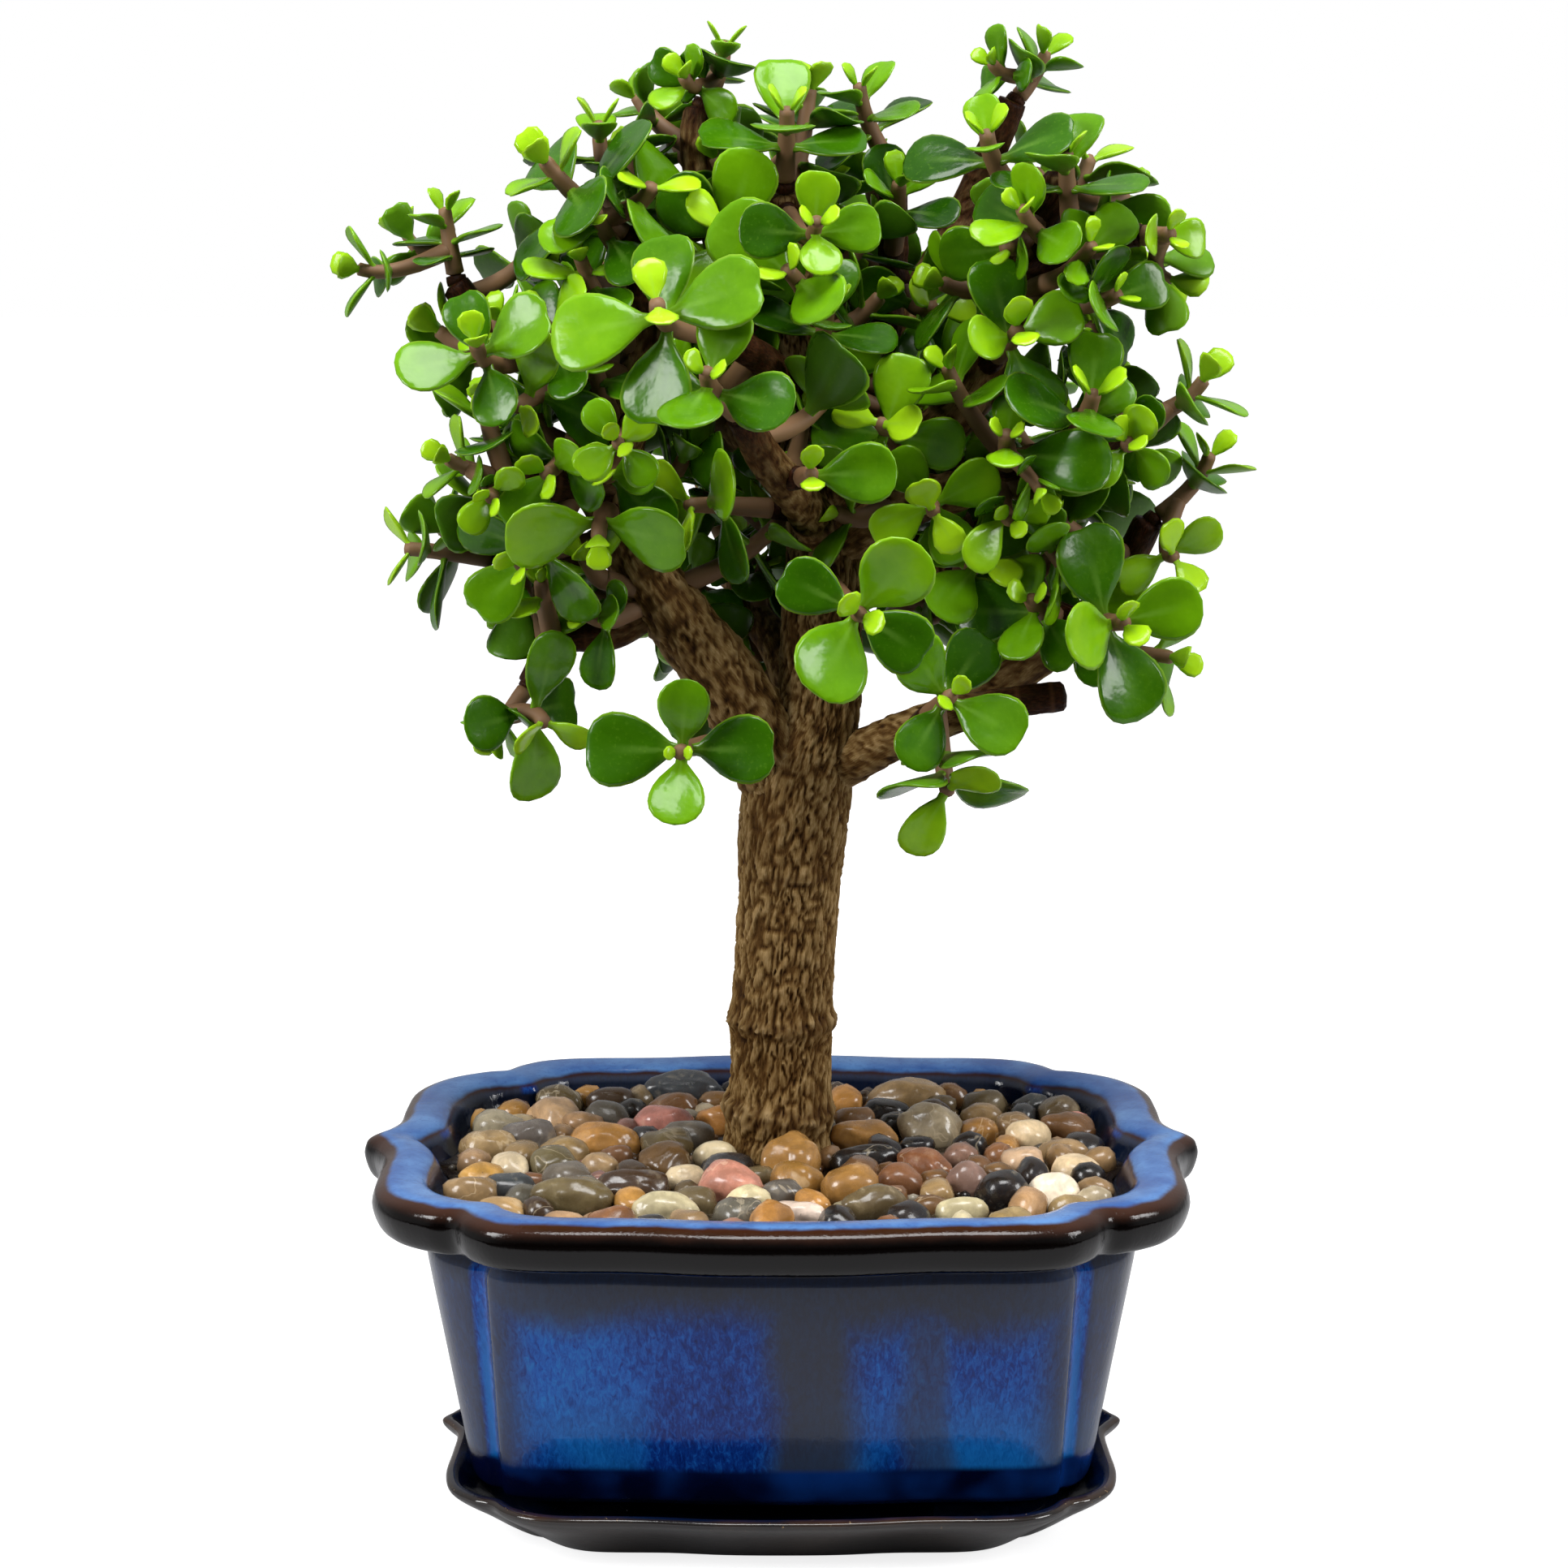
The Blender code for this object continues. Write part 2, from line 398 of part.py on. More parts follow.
def leafFrame(site, openBy, turnBy):
    azimuth = math.radians(site["azimuth"] + turnBy)
    opening = math.radians(site["opening"] + openBy)
    outward = site["side"] * math.cos(azimuth) + site["other"] * math.sin(azimuth)
    along = site["ahead"] * math.cos(opening) + outward * math.sin(opening)
    upward = site["ahead"] - along * site["ahead"].dot(along)
    upward = upward if upward.length > 0.05 else -outward
    upward.normalize()
    across = along.cross(upward).normalized()
    return across, along, upward, outward


def bendLeaf(x, y, z, length, width, site):
    # Cups the blade across and lets its end fall a little.
    z = z + site["cup"] * width * (2 * x / width) ** 2 - site["droop"] * length * (y / length) ** 2
    return x, y, z


leafShape = [(0.34, 0.28), (0.68, 0.5), (0.91, 0.34), (0.66, 0.52)]
hullShape = [(0.34, 0.38), (0.68, 0.5), (0.91, 0.36), (0.66, 0.52)]


def leafPoints(site, scale, shape, grow=0.0, cut=0.0):
    # The few corner points of a faceted leaf; grow thickens it and cut trims its base, for clearance tests.
    length = site["length"] * scale
    width = site["width"] * scale
    half = min(0.11 * length, site["twigRadius"] * 0.72)
    thick = 0.32 + 0.052 * length + grow
    base = cut * length
    rows = [(-half, base, 0), (half, base, 0), (0, base, half * 0.75), (0, base, -half * 0.75),
            (0, length + grow, 0), (0, 0.56 * length, thick), (0, 0.56 * length, -thick)]
    for t, w in (shape[:3] if site["length"] > 10 else shape[3:]):
        rows += [(w * width + grow, t * length, 0), (-w * width - grow, t * length, 0)]
    return [bendLeaf(x, y, z, length, width, site) for x, y, z in rows]


def placeLeaf(points, site, frame):
    across, along, upward, outward = frame
    root = site["at"] + outward * site["twigRadius"] * 0.3
    return [root + across * x + along * y + upward * z for x, y, z in points]


tweaks = [(0, 0, 1), (12, 0, 1), (-12, 0, 1), (0, 15, 1), (0, -15, 1), (10, 15, 0.92), (-10, -15, 0.92),
          (24, 0, 0.92), (-24, 0, 0.92), (0, 28, 0.88), (0, -28, 0.88), (18, 25, 0.85), (-18, 25, 0.85),
          (18, -25, 0.8), (-18, -25, 0.8), (35, 0, 0.8), (-35, 0, 0.75), (0, 42, 0.75), (0, -42, 0.75),
          (30, 30, 0.66), (-30, -30, 0.66), (30, -30, 0.6), (-30, 30, 0.6), (0, 0, 0.55), (20, 0, 0.5)]


def straightSite(site):
    plain = dict(site)
    plain["cup"] = 0.0
    plain["droop"] = 0.0
    return plain


def leafBody(site, scale, frame, grow=0.0, cut=0.0):
    # Hull of a plain unbent blade, whose corners then go to their bent places.
    mesh = bmesh.new()
    for place in leafPoints(straightSite(site), scale, hullShape, grow, cut):
        mesh.verts.new(place)
    bmesh.ops.convex_hull(mesh, input=list(mesh.verts))
    for vert, place in zip(mesh.verts, placeLeaf(leafPoints(site, scale, leafShape, grow, cut), site, frame)):
        vert.co = place
    return mesh


def leafSurface(site, scale, frame, grow=0.0, cut=0.0):
    mesh = leafBody(site, scale, frame, grow, cut)
    box = boxOf([v.co for v in mesh.verts])
    tree = BVHTree.FromBMesh(mesh)
    mesh.free()
    return box, tree


def boxOf(points):
    return ([min(p[i] for p in points) for i in range(3)], [max(p[i] for p in points) for i in range(3)])


def boxesMeet(a, b):
    return all(a[0][i] <= b[1][i] and b[0][i] <= a[1][i] for i in range(3))


def twigTube(twig, extra=0.0, count=4):
    walk = curveWalk(twig["ends"], count)
    return [(p, twigRadius(twig, i / (count - 1)) + extra) for i, p in enumerate(walk)]


def leavingWay(twig):
    return (twig["ends"][1] - twig["ends"][0]).normalized()


def tubeSurface(path, sides, leaving):
    rings = tubeRings(path, sides, 0.0, leaving)
    points = [p / mm for ring in rings for p in ring]
    faces = []
    for i in range(len(rings) - 1):
        for k in range(sides):
            j = (k + 1) % sides
            faces.append([i * sides + k, i * sides + j, (i + 1) * sides + j, (i + 1) * sides + k])
    faces.append([k for k in range(sides)])
    faces.append([(len(rings) - 1) * sides + k for k in range(sides)])
    return points, faces


def growLeaves(sprays, woodPoints, woodFaces):
    # Each leaf takes the first of a fixed list of small changes that keeps it clear of everything else.
    chance = random.Random(11)
    woodTree = BVHTree.FromPolygons(woodPoints, woodFaces)
    twigTrees = []
    for twigs in sprays:
        points, faces = [], []
        for twig in twigs:
            morePoints, moreFaces = tubeSurface(twigTube(twig, 0.35, 6), 6, leavingWay(twig))
            faces += [[i + len(points) for i in f] for f in moreFaces]
            points += morePoints
        twigTrees.append((boxOf(points), BVHTree.FromPolygons(points, faces)))
    placedTrees = []
    result = []
    for number, twigs in enumerate(sprays):
        kept = []
        ownTrees = []
        for twig in twigs:
            for site in leafSites(twig, chance):
                for openBy, turnBy, scale in tweaks:
                    frame = leafFrame(site, openBy, turnBy)
                    box, tree = leafSurface(site, scale, frame, 0.36, 0.24)
                    if woodTree.overlap(tree):
                        continue
                    if any(i != number and boxesMeet(box, other[0]) and other[1].overlap(tree)
                           for i, other in enumerate(twigTrees)):
                        continue
                    if any(boxesMeet(box, other[0]) and other[1].overlap(tree) for other in placedTrees):
                        continue
                    innerTree = leafSurface(site, scale, frame, 0.1, 0.36)[1]
                    if any(boxesMeet(box, other[0]) and other[1].overlap(innerTree) for other in ownTrees):
                        continue
                    kept.append((site, scale, frame))
                    ownTrees.append(leafSurface(site, scale, frame))
                    break
        placedTrees += ownTrees
        result.append(kept)
    return result


# Scene helpers.
partCollection = bpy.data.collections.new("jade_bonsai")
cutterCollection = bpy.data.collections.new("cutters")
bpy.context.scene.collection.children.link(partCollection)
bpy.context.scene.collection.children.link(cutterCollection)
cutterCollection.hide_render = True


def material(name, colour, roughness, metallic=0.0):
    made = bpy.data.materials.new(name)
    made.use_nodes = True
    shader = made.node_tree.nodes["Principled BSDF"]
    shader.inputs["Base Color"].default_value = (*colour, 1.0)
    shader.inputs["Roughness"].default_value = roughness
    shader.inputs["Metallic"].default_value = metallic
    made.diffuse_color = (*colour, 1.0)
    return made


def keep(thing, paint):
    partCollection.objects.link(thing)
    thing.data.materials.clear()
    thing.data.materials.append(paint)
    return thing


def cutter(thing):
    cutterCollection.objects.link(thing)
    thing.display_type = "WIRE"
    thing.hide_render = True
    return thing


def cut(target, tool, solver="EXACT"):
    step = target.modifiers.new("cut", "BOOLEAN")
    step.operation = "DIFFERENCE"
    step.object = tool
    step.solver = solver


def settle(target):
    # Applies every modifier of an object.
    graph = bpy.context.evaluated_depsgraph_get()
    fresh = bpy.data.meshes.new_from_object(target.evaluated_get(graph))
    target.modifiers.clear()
    target.data = fresh


def joinAll(target, others, solver="MANIFOLD"):
    # One union of a whole collection into the target, then the collection goes. The many crossing leaves,
    # limbs and stones need the MANIFOLD solver: EXACT leaves open edges among them.
    batch = bpy.data.collections.new(target.name + "_parts")
    bpy.context.scene.collection.children.link(batch)
    for other in others:
        batch.objects.link(other)
    step = target.modifiers.new("join", "BOOLEAN")
    step.operation = "UNION"
    step.operand_type = "COLLECTION"
    step.collection = batch
    step.solver = solver
    settle(target)
    for other in others:
        bpy.data.objects.remove(other, do_unlink=True)
    bpy.data.collections.remove(batch)


def tidyMesh(thing):
    mesh = bmesh.new()
    mesh.from_mesh(thing.data)
    bmesh.ops.remove_doubles(mesh, verts=mesh.verts, dist=1e-6)
    bmesh.ops.dissolve_degenerate(mesh, edges=mesh.edges, dist=1e-6)
    bmesh.ops.triangulate(mesh, faces=mesh.faces)
    bmesh.ops.recalc_face_normals(mesh, faces=mesh.faces)
    mesh.to_mesh(thing.data)
    mesh.free()


def thin(thing, target):
    # Collapses the shortest, flattest edges that the unions leave behind.
    count = len(thing.data.polygons)
    if count > target:
        step = thing.modifiers.new("thin", "DECIMATE")
        step.ratio = target / count
        settle(thing)
        tidyMesh(thing)


# Saucer: a lobed dish with a flared wall and a rolled lip.
saucer = ringObject("saucer", [levelRing(inset(lipOutline, back), level) for level, back in saucerProfile])
keep(saucer, material("saucer_glaze", (0.012, 0.016, 0.03), 0.12))

# Pot: tapering lobed body, rolled rim, hollow inside, four low feet and two drain holes.
potRings = [levelRing(inset(bodyAt(8), 2.2), 8), levelRing(bodyAt(10.6), 10.6), levelRing(bodyAt(31), 31),
            levelRing(bodyAt(53.2), 53.2)]
potRings += [levelRing(inset(rimOutline, back), level) for level, back in potRimProfile]
potRings += [levelRing(innerAt(55), 55), levelRing(innerAt(14.2), 14.2),
             levelRing(inset(innerAt(floorLevel), 1.6), floorLevel)]
pot = keep(ringObject("pot", potRings), material("pot_glaze", (0.008, 0.035, 0.2), 0.1))
feet = []
for sideX in (-1, 1):
    for sideY in (-1, 1):
        mesh = bmesh.new()
        bmesh.ops.create_cube(mesh, size=1.0)
        bmesh.ops.scale(mesh, vec=Vector((15, 9, footTop - saucerFloor)) * mm, verts=mesh.verts)
        for vert in mesh.verts:
            if vert.co.z < 0:
                vert.co.x *= 0.86
                vert.co.y *= 0.8
        place = Vector((sideX * footPads[0], sideY * footPads[1], (footTop + saucerFloor) / 2 + gap)) * mm
        bmesh.ops.translate(mesh, vec=place, verts=mesh.verts)
        feet.append(meshObject("foot", mesh))
joinAll(pot, feet, "EXACT")
for index, sideX in enumerate((-1, 1)):
    mesh = bmesh.new()
    bmesh.ops.create_cone(mesh, cap_ends=True, segments=20, radius1=drainRadius * mm,
                          radius2=drainRadius * mm, depth=20 * mm)
    bmesh.ops.translate(mesh, vec=Vector((sideX * drainAt, 0, 10)) * mm, verts=mesh.verts)
    cut(pot, cutter(meshObject("drain_cut_%d" % index, mesh)))
settle(pot)

# Drain screens: small square plates with a grid of holes over the drain holes.
for index, sideX in enumerate((-1, 1)):
    mesh = bmesh.new()
    bmesh.ops.create_grid(mesh, x_segments=5, y_segments=5, size=screenSide / 2 * mm)
    bmesh.ops.translate(mesh, vec=Vector((sideX * drainAt, 0, floorLevel + gap)) * mm, verts=mesh.verts)
    mesh.faces.ensure_lookup_table()
    holes = [f for i, f in enumerate(mesh.faces) if (i % 5) % 2 == 1 and (i // 5) % 2 == 1]
    bmesh.ops.delete(mesh, geom=holes, context="FACES_ONLY")
    screen = keep(meshObject("drain_screen_%s" % ("left" if sideX < 0 else "right"), mesh),
                  material("screen_plastic_%d" % index, (0.02, 0.02, 0.02), 0.5))
    plate = screen.modifiers.new("plate", "SOLIDIFY")
    plate.thickness = 0.8 * mm
    plate.offset = 1.0
    settle(screen)

# Wood: trunk, limbs and the stubs that the leafy twigs sit on.
sprays = planTwigs()


def pathOf(rows):
    return [(vec(row), row[3]) for row in rows]


trunk = ringObject("trunk_and_branches", tubeRings(pathOf(trunkPath), 11))
woodParts = []
for limb in limbPaths.values():
    woodParts.append(ringObject("limb", tubeRings(pathOf(limb), 7 if limb[0][3] > 3.3 else 6, 0.2)))
for twigs in sprays:
    start, heading, reach = twigs[0]["stub"]
    radius = twigs[0]["radius"]
    stubPath = [(start - heading * 0.6, radius * 1.02), (start + heading * reach, radius)]
    woodParts.append(ringObject("stub", tubeRings(stubPath, 5)))
keep(trunk, material("bark", barkTone, 0.8))
joinAll(trunk, woodParts)
tidyMesh(trunk)
thin(trunk, woodFaces)

# Soil and the pebbles on it, with a plain hole for the trunk.
trunkHole = [(vec(row), row[3] + gap) for row in trunkPath[:6]]
trunkHole[0] = (trunkHole[0][0] - Vector((0, 0, gap)), trunkHole[0][1])
soil = keep(ringObject("soil", [levelRing(inset(innerAt(floorLevel), 2.0), floorLevel + gap),
                                levelRing(inset(innerAt(soilTop), soilInset), soilTop)]),
            material("soil", (0.03, 0.018, 0.01), 0.95))
cut(soil, cutter(ringObject("trunk_cut_soil", tubeRings(trunkHole, 11))))
for index, sideX in enumerate((-1, 1)):
    mesh = bmesh.new()
    bmesh.ops.create_cube(mesh, size=1.0)
    room = screenSide + 2 * gap
    bmesh.ops.scale(mesh, vec=Vector((room, room, 2.8)) * mm, verts=mesh.verts)
    bmesh.ops.translate(mesh, vec=Vector((sideX * drainAt, 0, floorLevel)) * mm, verts=mesh.verts)
    cut(soil, cutter(meshObject("screen_cut_%d" % index, mesh)))
settle(soil)


def ellipseFits(x, y, length, width, turn):
    # True when the pebble's outline stays inside the pot wall and off the trunk.
    outline = inset(innerAt(stoneLevel), 0.9)
    for k in range(12):
        a = math.tau * k / 12
        u, v = math.cos(a) * length / 2, math.sin(a) * width / 2
        px = x + u * math.cos(turn) - v * math.sin(turn)
        py = y + u * math.sin(turn) + v * math.cos(turn)
        if not insideOutline(outline, px, py):
            return False
        if math.hypot(px - trunkAt[0], py - trunkAt[1]) < trunkRoom:
            return False
    return True


def layPebbles():
    # The picked pebbles first, then smaller and smaller ones wherever the bed still shows.
    chance = random.Random(3)
    laid = []
    for x, y, length, width, turn in pebbleRows:
        turn = math.radians(turn)
        for _ in range(14):
            if ellipseFits(x, y, length, width, turn):
                break
            away = Vector((x - trunkAt[0], y - trunkAt[1], 0))
            if away.length < trunkRoom + length * 0.55:
                x += away.x / away.length * 0.8
                y += away.y / away.length * 0.8
            else:
                x *= 0.965
                y *= 0.965
        laid.append((x, y, length, width, turn))
    for tries in range(pebbleTries):
        share = tries / pebbleTries
        length = chance.uniform(8.5, 12) * (1 - 0.42 * share)
        width = length * chance.uniform(0.62, 0.85)
        turn = chance.uniform(0, math.pi)
        x = chance.uniform(-66, 66)
        y = chance.uniform(-50, 50)
        if not ellipseFits(x, y, length, width, turn):
            continue
        size = math.sqrt(length * width) / 2
        if any(math.hypot(x - o[0], y - o[1]) < (size + math.sqrt(o[2] * o[3]) / 2) * 0.9 for o in laid):
            continue
        laid.append((x, y, length, width, turn))
    stones = []
    for x, y, length, width, turn in laid:
        height = width * chance.uniform(0.36, 0.46)
        level = bedTop + height * chance.uniform(0.0, 0.38)
        stones.append({"at": Vector((x, y, level)), "size": Vector((length / 2, width / 2, height)),
                       "turn": turn, "tilt": chance.uniform(-0.16, 0.16)})
    return stones


stones = layPebbles()
pebbles = ringObject("pebbles", [levelRing(inset(innerAt(soilTop + gap), soilInset), soilTop + gap),
                                 levelRing(inset(innerAt(bedTop), soilInset), bedTop)])
stoneParts = []
for stone in stones:
    mesh = bmesh.new()
    bmesh.ops.create_uvsphere(mesh, u_segments=6, v_segments=3, radius=1.08)
    bmesh.ops.scale(mesh, vec=stone["size"] * mm, verts=mesh.verts)
    spin = Matrix.Rotation(stone["turn"], 3, "Z") @ Matrix.Rotation(stone["tilt"], 3, "Y")
    bmesh.ops.rotate(mesh, cent=Vector(), matrix=spin, verts=mesh.verts)
    bmesh.ops.translate(mesh, vec=stone["at"] * mm, verts=mesh.verts)
    stoneParts.append(meshObject("stone", mesh))
keep(pebbles, material("pebbles", (0.24, 0.16, 0.09), 0.25))
joinAll(pebbles, stoneParts)
cut(pebbles, cutter(ringObject("trunk_cut_pebbles", tubeRings(trunkHole, 11))), "MANIFOLD")
settle(pebbles)
tidyMesh(pebbles)
thin(pebbles, pebbleFaces)

# Leafy sprays: twig and leaves fused into one body each.
woodPoints = [v.co / mm for v in trunk.data.vertices]
woodPolygons = [list(p.vertices) for p in trunk.data.polygons]
for number, (twigs, grown) in enumerate(zip(sprays, growLeaves(sprays, woodPoints, woodPolygons)), 1):
    name = "spray_%02d" % number
    tubes = [ringObject(name, tubeRings(twigTube(twig), 5, 0.0, leavingWay(twig))) for twig in twigs]
    pieces = tubes[1:]
    kept = [leaf for leaf in grown if leaf[0]["length"] * leaf[1] > smallLeaf]
    for site, scale, frame in kept:
        mesh = leafBody(site, scale, frame)
        bmesh.ops.scale(mesh, vec=(mm, mm, mm), verts=mesh.verts)
        pieces.append(meshObject("leaf", mesh))
    spray = keep(tubes[0], material("leaf_%02d" % number, leafTone, 0.3))
    joinAll(spray, pieces)
    tidyMesh(spray)
    thin(spray, twigFaces * len(twigs) + leafFaces * len(kept))
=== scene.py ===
# Small jade tree in a blue glazed pot on its saucer: the dressed model, in the frame's metres.
import json
import math
import random

import bmesh
import bpy
from mathutils import Matrix, Vector, noise
from mathutils.bvhtree import BVHTree

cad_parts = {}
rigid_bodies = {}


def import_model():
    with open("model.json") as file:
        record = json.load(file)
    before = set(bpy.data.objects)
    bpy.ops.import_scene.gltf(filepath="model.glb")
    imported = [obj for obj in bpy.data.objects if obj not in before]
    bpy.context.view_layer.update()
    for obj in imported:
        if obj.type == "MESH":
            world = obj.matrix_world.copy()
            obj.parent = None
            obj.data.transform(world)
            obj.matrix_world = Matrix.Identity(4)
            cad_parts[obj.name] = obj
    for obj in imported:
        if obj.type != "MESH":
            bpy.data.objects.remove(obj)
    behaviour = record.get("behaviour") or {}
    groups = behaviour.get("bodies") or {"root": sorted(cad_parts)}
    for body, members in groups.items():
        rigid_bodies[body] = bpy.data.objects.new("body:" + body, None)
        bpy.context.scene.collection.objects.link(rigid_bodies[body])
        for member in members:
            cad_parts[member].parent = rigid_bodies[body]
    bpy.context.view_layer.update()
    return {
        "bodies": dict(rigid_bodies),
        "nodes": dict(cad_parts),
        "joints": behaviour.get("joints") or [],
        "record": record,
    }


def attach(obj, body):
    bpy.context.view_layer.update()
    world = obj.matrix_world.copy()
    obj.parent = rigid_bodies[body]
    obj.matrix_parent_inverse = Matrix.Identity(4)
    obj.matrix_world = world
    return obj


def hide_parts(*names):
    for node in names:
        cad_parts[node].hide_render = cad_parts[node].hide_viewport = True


for thing in list(bpy.data.objects):
    bpy.data.objects.remove(thing, do_unlink=True)
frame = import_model()
nodes = frame["nodes"]
mm = 0.001

# The shapes below are in millimetres and are the same as those of the solids.
gap = 0.3
# Plan outlines, a quarter each, from the middle of the long front side to the end tip.
rimQuarter = [(0, -61.5), (12, -61.2), (26, -59.4), (40, -59), (48, -57.2), (52.5, -53.5), (55.5, -49),
              (60, -47.5), (66.5, -42.5), (70.5, -34), (71.2, -23), (71.3, -12), (73.5, -5), (76, 0)]
bodyQuarter = [(0, -51.5), (12, -51.2), (26, -49.8), (39, -49.4), (46, -48.4), (49.8, -46.4), (51, -43.2),
               (55, -41), (60, -36), (62.6, -28), (62.8, -19), (62.8, -10), (64.5, -4), (66.5, 0)]
footQuarter = [(0, -38.5), (12, -38.3), (26, -37.2), (38, -36.9), (44.5, -36.2), (48.2, -34.6), (49.3, -31.6),
               (51.8, -30), (54, -26), (55.2, -20.5), (55.2, -14.5), (55.1, -8.5), (56, -3.5), (57, 0)]
lipQuarter = [(0, -52), (12, -51.7), (24, -50.4), (38, -50), (44, -48.5), (48, -45.5), (50.5, -42),
              (54, -40), (58, -35), (59.5, -27), (59.3, -17), (59.3, -8), (61.3, -3), (62.8, 0)]

footLevel = 8.5             # where the pot wall starts
bodyTopLevel = 55           # where the body meets the rim
wallThickness = 4.5
floorLevel = 12.8           # inside floor of the pot
saucerFloor = 4.0
drainRadius = 5.0
footPads = (34, 20)         # half spacing of the four feet
soilTop = 52.0
soilInset = 0.8             # soil and pebble bed stand this far in from the wall, measured at the ends
bedTop = 59.0               # top of the bed the pebbles sit in
trunkAt = (-0.8, 11)        # where the trunk stands
trunkRoom = 11.2            # pebbles keep this far from its middle
stoneLevel = 60             # height at which pebbles have to clear the wall
stoneTries = 9000           # how many smaller pebbles are tried
drainAt = 18                # half spacing of the drain holes
footTop = 8.6               # height up to which the feet run into the pot
twigEase = 0.35             # how far a twig's bend reaches in from each end
twigClear = 0.35            # room kept round each twig
leafClear = (0.36, 0.24)    # a leaf grown by this much, short of this share of its base, meets no other spray
ownClear = (0.1, 0.36)      # the same towards leaves of its own spray
# Seeds of the random draws. Leaves, stones and their tones are drawn as in the solids.
seeds = {"leaves": 11, "stones": 3, "stoneTones": 7, "stoneLooks": 29, "wood": 41, "moods": 17, "shoots": 5,
         "shootLeaves": 23}

# Rim of the pot: (height, inset from the outline), up the outside and back down the inside.
potRimProfile = [(57.3, 1.4), (60.8, 0), (64.1, 1.1), (65.0, 3.4), (64.3, 8.7), (62.4, 10.3)]

# Limbs: (x, y, z, radius) from the parent outwards.
trunkPath = [(-0.9, 12, 30, 6.5), (-0.9, 11.5, 46, 10.2), (-0.8, 11, 57, 10.5), (-0.6, 11, 62.5, 9.8),
             (-0.4, 10.6, 67.5, 10.2), (-0.2, 10.4, 70.5, 9.5), (0, 9.8, 81, 9.4), (0.1, 9.6, 84.5, 9.9),
             (0.2, 9.4, 88, 9.3), (1.3, 8.6, 107, 9.3), (2.3, 8, 122, 10), (4, 8, 133, 9.4),
             (6.6, 8, 142.5, 7.9), (7.3, 8, 158.7, 7.2), (7.7, 8, 175, 6.7), (6.1, 8, 188, 6.2),
             (4.6, 8, 201, 5.4), (3.2, 8, 212, 4.6), (1.7, 8, 223.5, 3.7), (0.4, 6, 234, 3.2)]
